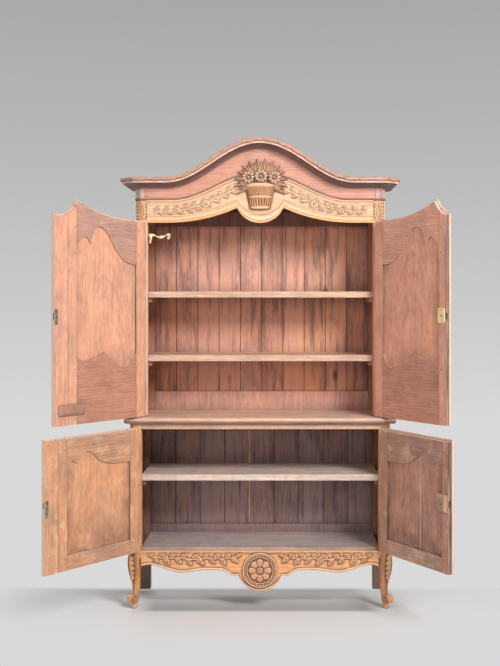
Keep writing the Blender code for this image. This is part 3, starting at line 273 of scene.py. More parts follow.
def oak(name, pale, deep, along="z", *, turn=0.0, shift=(0.0, 0.0, 0.0), seed=0.0, grey=0.25, figure=0.9,
        dirt_and_shade=0.6, reach=0.010, boards=None, bands=(), darker_below=None, grime=None, edge=None, lines=(), flame=None,
        border=None, carved=None, scuff=0.0):
    """Oak with growth rings, flecks, stains, dark joints and, if wished, boards, worn edges or carving.

    The grain runs along one axis of the turned coordinates, which are squeezed along it, so that cloudy noise
    becomes streaks: broad ones for the early wood, fine ones for flecks and pores. Rings are the sine of a
    slowly swaying distance across the board, or, round a flame, of a distance that bends into arches.
    """
    made = Finish(name)
    local = made.places(turn, shift)
    x, y, z = (made.axis(local, axis) for axis in "XYZ")
    vector = made.vector("ADD", local, (seed, 0.7 * seed, 1.3 * seed))
    grain = made.vector("MULTIPLY", vector, GRAIN[along])
    loosely = tuple(0.15 + 0.85 * part for part in GRAIN[along])
    sway = made.noise(made.vector("MULTIPLY", vector, loosely), 6.0)
    across = z if along == "x" else x
    if flame is not None:
        across = (across - flame).math("POWER", 2.0) * FLAME_BEND + z * FLAME_RISE
    rings = (across * RING_RATE + sway * RING_SWAY).math("SINE") * 0.5 + 0.5
    clouds = made.noise(vector, CLOUD_SCALE, 4.0, 0.6)
    broad = made.noise(grain, BROAD_SCALE, 3.0, 0.6)
    fine = made.noise(grain, FINE_SCALE, 2.0, 0.6)
    pores = made.noise(grain, PORE_SCALE, 2.0, 0.6)
    figured = (made.ramp(clouds, (0.36, 0.0), (0.66, 0.28)) + made.ramp(broad, (0.36, 0.0), (0.64, 0.24))
               + made.ramp(fine, (0.40, 0.0), (0.60, 0.34)) + made.ramp(rings, (0.45, 0.0), (0.95, 0.14)))
    streaks = figured.math("MINIMUM", 1.0)
    colour = made.mix(streaks * figure, pale, deep)
    warmth = made.ramp(made.noise(vector, 3.5, 3.0), (0.42, 0.0), (0.66, 1.0))
    colour = made.mix(warmth * 0.35, colour, tone(pale, (1.10, 0.92, 0.72)))
    stains = made.ramp(made.noise(vector, 7.5, 5.0, 0.66), (0.50, 0.0), (0.72, 1.0))
    colour = made.mix(stains * grey, colour, tuple(0.30 * sum(pale) / 3 + 0.42 * part for part in deep))
    colour = made.mix(made.ramp(pores, (0.33, 1.0), (0.46, 0.0)) * 0.45, colour, tone(deep, 0.6))
    if scuff:
        rubbed = made.ramp(made.noise(vector, 11.0, 6.0, 0.7), (0.55, 0.0), (0.66, 1.0))
        colour = made.mix(rubbed * scuff, colour, SCUFFED)
    plain_wood = colour
    if boards:
        colour = plank_tones(made, vector, x, colour, pale, deep, *boards)
    for low, high, deepest, tint, share in bands:
        within = (z > low) * (z < high) * (y < deepest)
        colour = made.mix(within * share, colour, made.mix(1.0, plain_wood, tint, "MULTIPLY"))
    if darker_below:
        colour = shaded_down(made, vector, colour, *darker_below)
    if grime:
        middle, half, low, share = grime
        aside = made.ramp((x - middle).math("ABSOLUTE") / half, (0.72, 0.0), (1.0, 1.0))
        below = made.ramp((z - low) / GRIME_RISE, (0.0, 1.0), (1.0, 0.0))
        gathered = aside.math("MAXIMUM", below) * made.ramp(clouds, (0.36, 0.15), (0.60, 0.75))
        colour = made.mix(gathered * share, colour, tone(deep, 0.55))
    if edge:
        worn = (y > edge[0]) * (y < edge[1]) * made.ramp(fine, (0.34, 0.45), (0.55, 0.95))
        colour = made.mix(worn, colour, edge[2])
    for place, half, stroke in lines:
        line = (x - place).math("ABSOLUTE") < half
        colour = made.mix(line * made.ramp(broad, (0.35, 0.45), (0.6, 0.9)), colour, stroke)
    if border:
        colour = made.mix(made.given("plain"), colour, made.mix(streaks * figure, *border))
    if carved:
        # Carving: rubbed wear with a painted highlight on proud places, dirt with painted shade in sunk
        # places
        colour = made.mix(made.given("proud") * carved[0], colour, RUBBED_HIGHLIGHT)
        colour = made.mix(made.given("sunk") * carved[1], colour, tone(deep, 0.16))
    # Dirt and painted shade: darker where ambient occlusion finds corners, hollows or undersides nearby
    colour = made.mix(made.hollows(reach) * dirt_and_shade, colour, tone(deep, 0.20))
    rough = WAX_ROUGHNESS + 0.16 * streaks - 0.08 * stains
    normal = made.bumped(pores * 0.5 + fine * 0.5, PORE_DEPTH)
    return made.surface(Base_Color=colour, Roughness=rough, Normal=normal)


def plank_tones(made, vector, x, colour, pale, deep, width, start, joint, glow):
    """Give each upright board its own tone, from a random number per board, with glowing streaks, a few dark
    knots and a dark line at each joint."""
    place = (x - start) / width
    number = place.math("FLOOR")
    chance = made.add("ShaderNodeTexWhiteNoise", {"noise_dimensions": "1D"}, {"W": number}, "Value")
    toned = made.mix(chance * 0.40, colour, deep)
    lit = made.mix((chance > 0.60) * 0.45, toned, pale)
    long_streaks = made.noise(made.vector("MULTIPLY", vector, (1.0, 1.0, 0.10)), 38.0, 3.0, 0.6)
    cloudy = made.noise(made.vector("MULTIPLY", vector, (1.0, 1.0, 0.5)), 5.0, 3.0)
    patches = made.ramp(cloudy, (0.46, 0.0), (0.62, 1.0))
    lit = made.mix(patches * made.ramp(long_streaks, (0.42, 0.0), (0.60, 0.8)), lit, glow)
    lit = made.mix(made.ramp(long_streaks, (0.34, 0.55), (0.46, 0.0)), lit, tone(deep, 0.6))
    flat = made.vector("MULTIPLY", vector, (1.0, 0.0, 0.45))
    spots = made.add("ShaderNodeTexVoronoi", None, {"Vector": flat, "Scale": 5.5}, "Distance")
    lit = made.mix(made.ramp(spots, (0.035, 0.9), (0.11, 0.0)), lit, tone(deep, 0.25))
    edge = ((place - number).math("PINGPONG", 0.5) * width) < joint
    return made.mix(edge * 0.85, lit, tone(deep, 0.15))


def shaded_down(made, vector, colour, low, high, lower_tone, share):
    """Blend towards a darker tone below a height, over a soft and cloudy edge."""
    level = (made.axis(vector, "Z") - low) / (high - low)
    cloud = made.noise(vector, 4.0, 3.0) - 0.5
    mask = made.ramp(1.0 - (level + cloud * 0.9), (0.15, 0.0), (0.85, 1.0))
    return made.mix(mask * share, colour, lower_tone)


def metal(name, colour, dark, rough, bare=1.0):
    """Hand-worked metal: a hammered bump, dull patches and dirt in the corners; bare is the share of it
    that has no film."""
    made = Finish(name)
    vector = made.places()
    dull = made.ramp(made.noise(vector, 60.0, 4.0), (0.38, 0.0), (0.68, 1.0))
    worn = made.mix(made.hollows(0.004) * 0.6, made.mix(dull, colour, dark), tone(dark, 0.4))
    dents = made.bumped(made.noise(vector, 140.0), 0.0012)
    return made.surface(Base_Color=worn, Roughness=rough + 0.25 * dull, Metallic=bare, Normal=dents)


# Finishes of this buffet

WORN_EDGE = (0.76, 0.53, 0.40)
EDGE_FROM = -0.0030
EDGE_TO = 0.0220
SEAM_HALF = 0.0013
CRACK = (0.88, 0.73, 0.63)
CRACK_HALF = 0.0018
PANEL_CRACKS = {"lower_right_door": (0.60,)}
CARVED_SHARES = (0.55, 0.88)


def door_finishes(name, pale, deep, grey, darker_below, head, foot, scuff):
    """Finishes of one door: stiles, top and bottom rails in their own tints, false stile and panel."""
    door = DOORS[name]
    span = door.outer - HINGE_STILE
    pale, deep = tone(pale, 1.06), tone(deep, 0.80)
    common = {"turn": door.side * door.opened, "shift": (CENTRE_X + door.x, CENTRE_Y + door.y, 0.0),
              "grey": grey, "darker_below": darker_below, "scuff": scuff}

    def across(u):
        """A place along the door's width, in its turned coordinates."""
        return -door.side * (u + AXIS_OUT)

    def wood(kind, along="z", tint=1.0, **more):
        """Oak for one kind of the door's parts."""
        return oak(f"{name}_{kind}_oak", tone(pale, tint), tone(deep, tint), along, **{**common, **more})

    seams = tuple((across(u), SEAM_HALF, tone(deep, 0.18)) for u in (HINGE_STILE, door.outer, door.width))
    worn = {"edge": (EDGE_FROM, EDGE_TO, WORN_EDGE), "lines": seams}
    middle = across((HINGE_STILE + door.outer) / 2)
    grime = (middle, span / 2, door.body.bottom + door.body.grime_rise, door.body.grime)
    cracks = tuple((across(HINGE_STILE + share * span), CRACK_HALF, CRACK)
                   for share in PANEL_CRACKS.get(name, ()))
    return {
        "stile": wood("stile", seed=0.3, **worn),
        "false_stile": wood("false_stile", seed=2.1, **{**worn, "grey": grey + 0.35}),
        "top_rail": wood("top_rail", "x", head, seed=1.3, **worn),
        "bottom_rail": wood("bottom_rail", "x", foot, seed=4.2, **worn),
        "panel": wood("panel", seed=3.4, flame=middle, grime=grime, lines=cracks, scuff=0.4 * scuff),
    }


IRON = metal("worn_iron", (0.16, 0.145, 0.135), (0.05, 0.042, 0.038), 0.38)
STEEL = metal("worn_steel", (0.52, 0.48, 0.42), (0.20, 0.17, 0.14), 0.36)
BRASS = metal("aged_brass", (1.0, 0.84, 0.50), (0.80, 0.61, 0.32), 0.38, 0.4)

CASE_OAK = oak("case_oak", (0.52, 0.24, 0.15), (0.24, 0.10, 0.065), grey=0.2)
LOWER_CASE_OAK = oak("lower_case_oak", (0.42, 0.22, 0.15), (0.18, 0.085, 0.06), grey=0.4,
                     darker_below=(0.05, 0.45, (0.11, 0.075, 0.065), 0.75))
# Bands have a low and a high end, a depth they reach to, a tint and a share; FAR lies beyond the cabinet
FAR = 9.0
# Waist: a dark band of painted shade for the hollow under the top edge, the nose below it darkened as painted
# shade, and a long occlusion reach for the shade under it
WAIST_GROOVE = 0.9275
WAIST_OAK = oak("waist_oak", (0.80, 0.54, 0.42), (0.40, 0.25, 0.19), "x", grey=0.4, reach=0.03,
                bands=((WAIST_GROOVE, 0.9420, FAR, (0.42, 0.36, 0.31), 0.9),
                       (0.0, WAIST_GROOVE, FAR, (0.98, 0.82, 0.70), 0.9)))
# Upright lines on the frieze have a distance from the middle, a half width and a tone
FRIEZE_ENDS = ((0.5930, 0.0115, (0.52, 0.36, 0.32)), (0.5808, 0.0014, (0.08, 0.045, 0.04)))
CROWN_OAK = oak("crown_oak", (0.69, 0.345, 0.25), (0.37, 0.165, 0.12), "x", grey=0.35, figure=0.75, dirt_and_shade=0.5,
                reach=0.03, lines=tuple((CENTRE_X + side * place, half, stroke)
                                        for side, _ in SIDES for place, half, stroke in FRIEZE_ENDS))
# The cove's dark tone is painted shade under the crown
COVE_OAK = oak("cove_oak", (0.25, 0.14, 0.115), (0.10, 0.055, 0.048), "x", grey=0.4)
# The fillet's pale tone is wear with a painted highlight
FILLET_OAK = oak("fillet_oak", (0.86, 0.64, 0.53), (0.52, 0.33, 0.27), "x", grey=0.3)
ROLL_OAK = oak("roll_oak", (0.66, 0.365, 0.265), (0.24, 0.115, 0.08), "x", grey=0.3, dirt_and_shade=0.85, reach=0.006,
               carved=CARVED_SHARES)
# The bead's dark tone is painted shade along the foot of the frieze
BEAD_OAK = oak("bead_oak", (0.42, 0.20, 0.12), (0.18, 0.08, 0.05), "x", grey=0.3, dirt_and_shade=0.8)
LOCK_BOX_OAK = oak("lock_box_oak", (0.56, 0.33, 0.23), (0.26, 0.14, 0.095), grey=0.3)
HONEY_OAK = oak("honey_oak", (0.96, 0.53, 0.25), (0.62, 0.29, 0.11), "x", grey=0.12)
HONEY_UPRIGHT_OAK = oak("honey_upright_oak", (0.95, 0.50, 0.25), (0.42, 0.18, 0.08), grey=0.35, reach=0.02)
POST_OAK = oak("post_oak", (0.84, 0.46, 0.29), (0.44, 0.21, 0.125), grey=0.4, reach=0.02,
               lines=((CENTRE_X - UPPER_OPENING / 2, 0.0045, (0.95, 0.78, 0.58)),))
# A lighter copy of the post's oak for the right post: painted light where the right doors shade it
LIGHTENED_RIGHT_POST_OAK = oak("lightened_right_post_oak", (0.92, 0.50, 0.33), (0.50, 0.24, 0.145), grey=0.35, reach=0.02)
RAIL_OAK = oak("rail_carving_oak", (0.95, 0.585, 0.355), (0.62, 0.33, 0.185), "x", grey=0.3, dirt_and_shade=0.8,
               reach=0.008, carved=(0.62, 0.58), border=((0.98, 0.55, 0.25), (0.66, 0.31, 0.12)))
CARVED_OAK = oak("carved_oak", (0.96, 0.50, 0.235), (0.46, 0.18, 0.075), "x", grey=0.45, dirt_and_shade=0.85,
                 carved=(0.36, 0.80))
BASKET_OAK = oak("basket_oak", (0.78, 0.40, 0.19), (0.34, 0.15, 0.065), grey=0.3, dirt_and_shade=0.8, reach=0.008,
                 carved=(0.40, 0.88))
BLOOM_OAK = oak("bloom_oak", (0.84, 0.63, 0.50), (0.50, 0.31, 0.22), grey=0.3, dirt_and_shade=0.8, reach=0.006,
                carved=CARVED_SHARES)
FAN_OAK = oak("fan_oak", (0.80, 0.47, 0.31), (0.38, 0.185, 0.11), grey=0.3, dirt_and_shade=0.85, reach=0.008,
              carved=CARVED_SHARES)
POST_HEAD_OAK = oak("post_head_oak", (1.0, 0.62, 0.30), (0.62, 0.28, 0.11), grey=0.3, dirt_and_shade=0.7,
                    carved=CARVED_SHARES)
MEDALLION_OAK = oak("medallion_oak", (0.72, 0.35, 0.185), (0.30, 0.12, 0.055), "x", grey=0.4, dirt_and_shade=0.85,
                    carved=(0.30, 0.85))
LEG_OAK = oak("leg_oak", (0.68, 0.31, 0.125), (0.26, 0.10, 0.04), grey=0.45, dirt_and_shade=0.8, carved=(0.25, 0.88),
              darker_below=(0.0, 0.16, (0.30, 0.16, 0.09), 0.6))
FRIEZE_CORNER_OAK = oak("frieze_corner_oak", (0.60, 0.44, 0.40), (0.34, 0.23, 0.20), grey=0.4, dirt_and_shade=0.8,
                        reach=0.006)
CORNER_OAK = oak("corner_oak", (1.0, 0.62, 0.36), (0.52, 0.26, 0.13), grey=0.4, dirt_and_shade=0.8, reach=0.006,
                 carved=CARVED_SHARES)
CLEAT_OAK = oak("cleat_oak", (0.46, 0.25, 0.18), (0.24, 0.12, 0.085), "x", turn=-126.0, grey=0.5)
SHELF_OAK = oak("shelf_oak", (0.76, 0.50, 0.36), (0.38, 0.22, 0.15), "x", grey=0.35)
LOWER_SHELF_OAK = oak("lower_shelf_oak", (0.80, 0.64, 0.55), (0.36, 0.27, 0.23), "x", grey=0.5)
FLOOR_OAK = oak("floor_oak", (0.56, 0.48, 0.46), (0.20, 0.165, 0.16), "x", grey=0.5)
# Depths of the back boards' face and of the rails in front of it, and how the boards are laid
BACK_FACE = CENTRE_Y + 0.2105
RAIL_FACE = BACK_FACE - 0.002
JOINT_HALF = 0.0018
LOWER_BOARD = 0.13216
LOWER_BOARDS_FROM = -0.5947
# Upper back: the long occlusion reach paints shade under the shelves, and the last band is painted shade
# under the top rail
UPPER_BOARDS = oak("upper_back_oak", (0.94, 0.52, 0.39), (0.30, 0.15, 0.115), grey=0.5, reach=0.10, dirt_and_shade=0.62,
                   boards=(0.11424, CENTRE_X - 0.5712, JOINT_HALF, (0.93, 0.46, 0.23)),
                   bands=((0.0, 1.0555, RAIL_FACE, (1.10, 1.14, 1.20), 0.9),
                          (1.938, FAR, BACK_FACE, (0.15, 0.13, 0.13), 0.85)))
# Lower back: the long occlusion reach paints shade under the shelf and in the corners
LOWER_BOARDS = oak("lower_back_oak", (0.56, 0.38, 0.37), (0.15, 0.095, 0.098), grey=0.6, reach=0.10,
                   dirt_and_shade=0.62,
                   boards=(LOWER_BOARD, CENTRE_X + LOWER_BOARDS_FROM, JOINT_HALF, (0.44, 0.26, 0.20)),
                   bands=((0.0, 0.345, RAIL_FACE, (1.02, 1.04, 1.12), 0.9),))
SLIVER_OAK = oak("sliver_oak", (0.95, 0.66, 0.46), (0.60, 0.36, 0.23), grey=0.3)
PEG_OAK = oak("peg_oak", (0.34, 0.18, 0.11), (0.15, 0.075, 0.05), "y", grey=0.2)

# Doors: pale and deep tones, stains, darkening below a height, tints of the top and bottom rails, scuffs
DOOR_TONES = {
    "upper_left_door": ((0.80, 0.42, 0.29), (0.50, 0.235, 0.145), 0.24, None,
                        (0.68, 0.76, 0.90), (0.70, 0.64, 0.62), 0.10),
    "upper_right_door": ((0.83, 0.42, 0.30), (0.47, 0.21, 0.14), 0.32, (0.95, 1.45, (0.25, 0.13, 0.10), 0.66),
                         (0.90, 0.98, 1.06), (0.72, 0.70, 0.72), 0.10),
    "lower_left_door": ((0.75, 0.39, 0.225), (0.42, 0.195, 0.105), 0.40, None,
                        (0.82, 0.88, 0.95), (0.86, 0.90, 0.95), 0.40),
    "lower_right_door": ((0.61, 0.325, 0.235), (0.28, 0.14, 0.105), 0.45, None,
                         (0.82, 0.90, 0.98), (0.95, 1.12, 1.16), 0.35),
}
DOOR_FINISHES = {door: door_finishes(door, *tones) for door, tones in DOOR_TONES.items()}
DOOR_KINDS = ("false_stile", "top_rail", "bottom_rail", "panel")

CASE_FINISHES = {
    "front_left_leg": HONEY_UPRIGHT_OAK,
    "front_right_leg": HONEY_UPRIGHT_OAK,
    "lower_left_side": LOWER_CASE_OAK,
    "lower_right_side": LOWER_CASE_OAK,
    "apron_rail": HONEY_OAK,
    "waist_top": WAIST_OAK,
    "lower_back": LOWER_BOARDS,
    "lower_floor": FLOOR_OAK,
    "lower_shelf": LOWER_SHELF_OAK,
    "upper_left_post": POST_OAK,
    "upper_right_post": LIGHTENED_RIGHT_POST_OAK,
    "upper_left_side": CASE_OAK,
    "upper_right_side": CASE_OAK,
    "carved_rail": HONEY_OAK,
    "upper_back": UPPER_BOARDS,
    "middle_shelf": SHELF_OAK,
    "upper_shelf": SHELF_OAK,
    "cornice": CROWN_OAK,
    "flower_basket": BASKET_OAK,
}


def dress(node, finish):
    """Give a CAD node one finish."""
    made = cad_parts[node]
    made.data.materials.clear()
    made.data.materials.append(finish)


def dress_frame():
    """Give every CAD node its finish, by its name."""
    for node, finish in CASE_FINISHES.items():
        dress(node, finish)
    for door in DOORS:
        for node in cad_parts:
            if node.startswith(door):
                kind = next((kind for kind in DOOR_KINDS if node.endswith(kind)), "stile")
                dress(node, DOOR_FINISHES[door][kind])
    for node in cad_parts:
        if "hinge_pin" in node or "hinge_cap" in node or "bolt" in node:
            dress(node, IRON)


# Surfaces: grids of points made into closed pieces

def stacked(*parts):
    """Points from their coordinates, each a number or a grid."""
    return np.stack(np.broadcast_arrays(*parts), axis=-1)


def unit(vectors):
    """The same vectors, row by row, with the length one."""
    return vectors / np.linalg.norm(vectors, axis=1, keepdims=True)


def polar(rings, turns):
    """Grids of the share of a radius, from 0 to 1, and of the angle round the middle."""
    return np.meshgrid(np.linspace(0.0, 1.0, rings), np.linspace(0.0, TURN, turns, endpoint=False),
                       indexing="ij")


def hump(distance, half):
    """Half a circle's height over a distance from its middle: 1 there, 0 from the half width outwards."""
    return np.sqrt(np.clip(1.0 - (distance / half) ** 2, 0.0, None))


def eased(value, width):
    """A straight rise from 0 to 1 over a width."""
    return np.clip(value / width, 0.0, 1.0)


def highest(*heights):
    """The highest of several heights at each place."""
    return np.maximum.reduce(heights)


def grid_faces(rows, columns, wrap=False):
    """Quads of a grid whose points are numbered row by row; wrap joins the last column to the first."""
    row, column = np.meshgrid(np.arange(rows - 1), np.arange(columns if wrap else columns - 1), indexing="ij")
    after = (column + 1) % columns
    corners = stacked(row * columns + column, row * columns + after,
                      (row + 1) * columns + after, (row + 1) * columns + column)
    return corners.reshape(-1, 4).tolist()


def tube(rings):
    """A closed body from rings of points, shape (rings, points, 3), with a flat cap at each end."""
    count, around = rings.shape[:2]
    faces = grid_faces(count, around, wrap=True)
    faces += [list(range(around))[::-1], list(range((count - 1) * around, count * around))]
    return rings.reshape(-1, 3), faces


def hoop(rings):
    """A closed body from rings of points carried round a closed path: the first ring comes again at the end,
    and such doubles are merged when the piece is made."""
    closed = np.concatenate([rings, rings[:1]])
    return closed.reshape(-1, 3), grid_faces(*closed.shape[:2], wrap=True)


def relief(front, back_y):
    """A closed slab: a carved front grid, shape (rows, columns, 3), with straight edges to a plane in y."""
    rows, columns = front.shape[:2]
    edge = np.concatenate([np.arange(columns), columns * np.arange(1, rows) + columns - 1,
                           (rows - 1) * columns + np.arange(columns - 2, -1, -1),
                           columns * np.arange(rows - 2, 0, -1)])
    points = front.reshape(-1, 3)
    behind = points[edge].copy()
    behind[:, 1] = back_y
    first, count = len(points), len(edge)
    step = np.arange(count)
    sides = stacked(edge, first + step, first + (step + 1) % count, edge[(step + 1) % count])
    faces = grid_faces(rows, columns) + sides.tolist() + [(first + step).tolist()]
    return np.concatenate([points, behind]), faces


def joined(*bodies):
    """Put several (points, faces) bodies into one pair of lists."""
    starts = np.cumsum([0, *(len(points) for points, _ in bodies)])
    faces = [[int(start) + corner for corner in face]
             for (_, some), start in zip(bodies, starts) for face in some]
    return np.concatenate([points for points, _ in bodies]), faces


def mean_around(height, reach):
    """Mean height of the places round each place of a grid."""
    padded = np.pad(height, reach, mode="edge")
    return np.lib.stride_tricks.sliding_window_view(padded, (2 * reach + 1,) * 2).mean(axis=(-1, -2))


def carving_shares(height, reach, full):
    """How far each place of a height grid lies below or above the mean of the places near it and of those
    further round it: 1 at the full depth."""
    # Finishes paint shade, with dirt, into the sunk share and a highlight, with rubbed wear, onto the proud
    # share
    depth = (mean_around(height, reach) - height + 0.55 * (mean_around(height, 3 * reach) - height)) / full
    return {"sunk": np.clip(depth, 0.0, 1.0), "proud": np.clip(-0.9 * depth, 0.0, 1.0)}


def placed(name, data):
    """Put a new object into the scene."""
    made = bpy.data.objects.new(name, data)
    bpy.context.scene.collection.objects.link(made)
    return made


def make(name, body, finish, rider, slot, door=None, sharp=40.0, **shares):
    """Make a piece from points about the cabinet's middle, or in a door's own (u, depth, z), and let it ride.

    Further arguments are values over its first points, which the finish reads as attributes of those names.
    """
    points, faces = body
    points = in_door(points, DOORS[door]) if door else points + np.array([CENTRE_X, CENTRE_Y, 0.0])
    mesh = bpy.data.meshes.new(name)
    mesh.from_pydata(points.tolist(), [], faces)
    for key, given in shares.items():
        values = np.zeros(len(points))
        values[:given.size] = given.ravel()
        mesh.attributes.new(key, "FLOAT", "POINT").data.foreach_set("value", values)
    bm = bmesh.new()
    bm.from_mesh(mesh)
    bmesh.ops.remove_doubles(bm, verts=bm.verts, dist=1e-6)
    bmesh.ops.recalc_face_normals(bm, faces=bm.faces)
    bm.to_mesh(mesh)
    bm.free()
    mesh.shade_smooth()
    mesh.set_sharp_from_angle(angle=math.radians(sharp))
    mesh.materials.append(finish)
    made = placed(name, mesh)
    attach(made, rider)
    return made


def carve(name, body, finish, sharp=60.0, **shares):
    """Make a carved oak piece of the carcass."""
    return make(name, body, finish, "carcass", "oak_carved", sharp=sharp, **shares)


def hang(name, body, finish, door, slot="forged_iron"):
    """Make a piece in a door's own places that moves with the door."""
    return make(name, body, finish, door, slot, door)


def in_door(points, door):
    """Turn (u, depth, z) points of a door, as hung and opened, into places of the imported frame."""
    angle = math.radians(door.side * door.opened)
    across, deep = -door.side * (points[:, 0] + AXIS_OUT), points[:, 1]
    return stacked(CENTRE_X + door.x + across * math.cos(angle) - deep * math.sin(angle),
                   CENTRE_Y + door.y + across * math.sin(angle) + deep * math.cos(angle), points[:, 2])


# Lines that the carving follows

def smooth_line(points, steps=12):
    """A Catmull-Rom curve through points: on each stretch, a cubic blend of four neighbours."""
    given = np.array(points, dtype=float)
    padded = np.concatenate([given[:1], given, given[-1:]])
    a, b, c, d = (padded[i:len(padded) - 3 + i, None, :] for i in range(4))
    t = (np.arange(steps) / steps)[None, :, None]
    line = 0.5 * (2 * b + (c - a) * t + (2 * a - 5 * b + 4 * c - d) * t ** 2
                  + (3 * b - a - 3 * c + d) * t ** 3)
    return np.concatenate([line.reshape(-1, given.shape[1]), given[-1:]])


def even_steps(path, length):
    """Points every so often along a polyline, by its length."""
    along = np.concatenate([[0.0], np.cumsum(np.linalg.norm(np.diff(path, axis=0), axis=1))])
    places = np.linspace(0.0, along[-1], max(int(along[-1] / length), 2) + 1)
    return stacked(*(np.interp(places, along, path[:, axis]) for axis in range(path.shape[1])))


def swell(x, half_span):
    """Half a cosine wave: 1 on the middle line, 0 from the half span outwards."""
    return np.where(np.abs(x) < half_span, 0.5 + 0.5 * np.cos(np.pi * x / half_span), 0.0)


def lobe(x, radius):
    """Height of a circle's upper half above its middle, 0 beside it."""
    return np.sqrt(np.clip(radius ** 2 - x ** 2, 0.0, None))


def rail_edge(x):
    """Lower edge of the carved rail: flat, then a power curve up to a cusp, then a circle's lobe."""
    reach = np.abs(x)
    share = eased(RAIL_FLAT_X - reach, RAIL_FLAT_X - CUSP_X)
    middle = OPEN_TOP + RAIL_RISE - LOBE_DROP + LOBE_R - lobe(reach, LOBE_R)
    return np.where(reach < CUSP_X, middle, OPEN_TOP + RAIL_RISE * share ** RISE_POWER)


def frieze_line(x):
    """Line between carved rail and frieze: half a cosine wave above the posts' tops."""
    return UPPER_TOP + FRIEZE_ARCH * swell(x, FRIEZE_HALF_SPAN)


def crown_line(x):
    """Foot of the crown: a slightly sharpened half cosine wave."""
    return CROWN_FOOT + CROWN_ARCH * swell(x, CROWN_HALF_SPAN) ** CROWN_POWER


APRON_LOBE_R = 0.115
APRON_LOBE_MID = 0.2055
APRON_DROP = 0.126
APRON_SCROLL = ((-0.999, -0.619), (-0.929, -0.556), (-0.862, -0.611), (-0.765, -0.762), (-0.661, -0.865),
                (-0.555, -0.810), (-0.442, -0.762), (-0.308, -0.794), (-0.232, -1.000))


def apron_edge(x):
    """Lower edge of the apron: scrolls through given points, and a circle's lobe in the middle."""
    half = LOWER_OPENING / 2
    line = smooth_line([(share * half, APRON_TOP + level * APRON_DROP) for share, level in APRON_SCROLL])
    scroll = np.interp(-np.abs(x), line[:, 0], line[:, 1])
    return np.where(np.abs(x) < 0.95 * APRON_LOBE_R, APRON_LOBE_MID - lobe(x, APRON_LOBE_R), scroll)


# Carved motifs: heights above the ground of the carving, on arrays of places

def flower(x, z, middle, radius, petals):
    """Petals round a button: a dome whose rim waves with the angle, grooved between the petals."""
    away = np.hypot(x - middle[0], z - middle[1])
    half_angle = petals * np.arctan2(z - middle[1], x - middle[0]) / 2
    rim = radius * (0.80 + 0.20 * np.abs(np.cos(half_angle)))
    body = hump(away, rim) ** 0.7
    groove = 1.0 - 0.45 * np.exp(-(np.sin(half_angle + np.pi / 2) / 0.25) ** 2)
    cup = 1.0 - 0.45 * np.exp(-((away / radius - 0.34) / 0.10) ** 2)
    button = 0.35 * np.exp(-(away / (0.22 * radius)) ** 2)
    return np.where(away < rim, 0.8 * body * groove * cup + button, 0.0)


def leaf(x, z, start, end, width, lobes=4):
    """A lobed leaf: across it an arch with a midrib groove, along it a sine's width with wavy edges."""
    along = np.subtract(end, start)
    length = np.hypot(*along)
    share = ((x - start[0]) * along[0] + (z - start[1]) * along[1]) / length ** 2
    side = ((z - start[1]) * along[0] - (x - start[0]) * along[1]) / length
    inside = np.clip(share, 0.0, 1.0)
    half = width * np.sin(np.pi * inside ** 0.75) ** 0.8 * (1.0 + 0.20 * np.cos(TURN * lobes * inside))
    arch = hump(side, np.maximum(half, 1e-5))
    rib = 1.0 - 0.5 * np.exp(-(side / (0.13 * width)) ** 2)
    veins = 1.0 - 0.22 * np.cos(TURN * lobes * (inside - 0.5 * np.abs(side) / width))
    return np.where((share > 0.0) & (share < 1.0), arch * rib * veins, 0.0)


def stem(x, z, line, radius):
    """A round cord along a line: half a circle's height over the distance to the line's nearest point."""
    return hump(np.min(np.hypot(x[..., None] - line[:, 0], z[..., None] - line[:, 1]), axis=-1), radius)


def spray(x, z, line, pitch, size, width):
    """Leaves along a stem's line: at even steps one to each side in turn, leaning forward."""
    places = even_steps(line, pitch)
    ahead = unit(np.gradient(places, axis=0))
    aside = stacked(-ahead[:, 1], ahead[:, 0]) * np.where(np.arange(len(places)) % 2, 1, -1)[:, None]
    ends = places + size * (0.72 * ahead + 0.70 * aside)
    return highest(*(leaf(x, z, start, end, width) for start, end in zip(places, ends)))


def pearls(along, pitch):
    """A share that turns a bead into a row of pearls: half waves along it."""
    return 0.25 + 0.75 * np.abs(np.sin(np.pi * along / pitch)) ** 0.7


# Carved rail over the upper doors

SIDE_GAP = 0.0006
SLAB_BED = 0.0010
SOFT = 0.002
CARVING_REACH = 2
CARVING_FULL = 0.0014
RAIL_CLEAR = 0.0115
RAIL_BORDER = 0.030
RAIL_STEM = ((0.535, 1.990), (0.470, 1.993), (0.400, 1.998), (0.330, 2.016), (0.274, 2.032), (0.219, 2.056),
             (0.170, 2.082), (0.125, 2.106))
RAIL_BLOOMS = (((0.274, 2.030), 0.021, 8), ((0.224, 2.056), 0.017, 6), ((0.318, 2.005), 0.010, 5),
               ((0.363, 2.014), 0.012, 6), ((0.413, 1.997), 0.013, 6), ((0.464, 1.989), 0.012, 6),
               ((0.507, 1.990), 0.010, 5))


def carved_face(half, rows, low_edge, high_edge):
    """Grids over the face of a carved rail: x, and the height between two edges that are functions of x."""
    x, share = np.meshgrid(np.linspace(-half, half, 801), np.linspace(0.0, 1.0, rows))
    low, high = low_edge(x), high_edge(x)
    return x, low + (high - low) * share


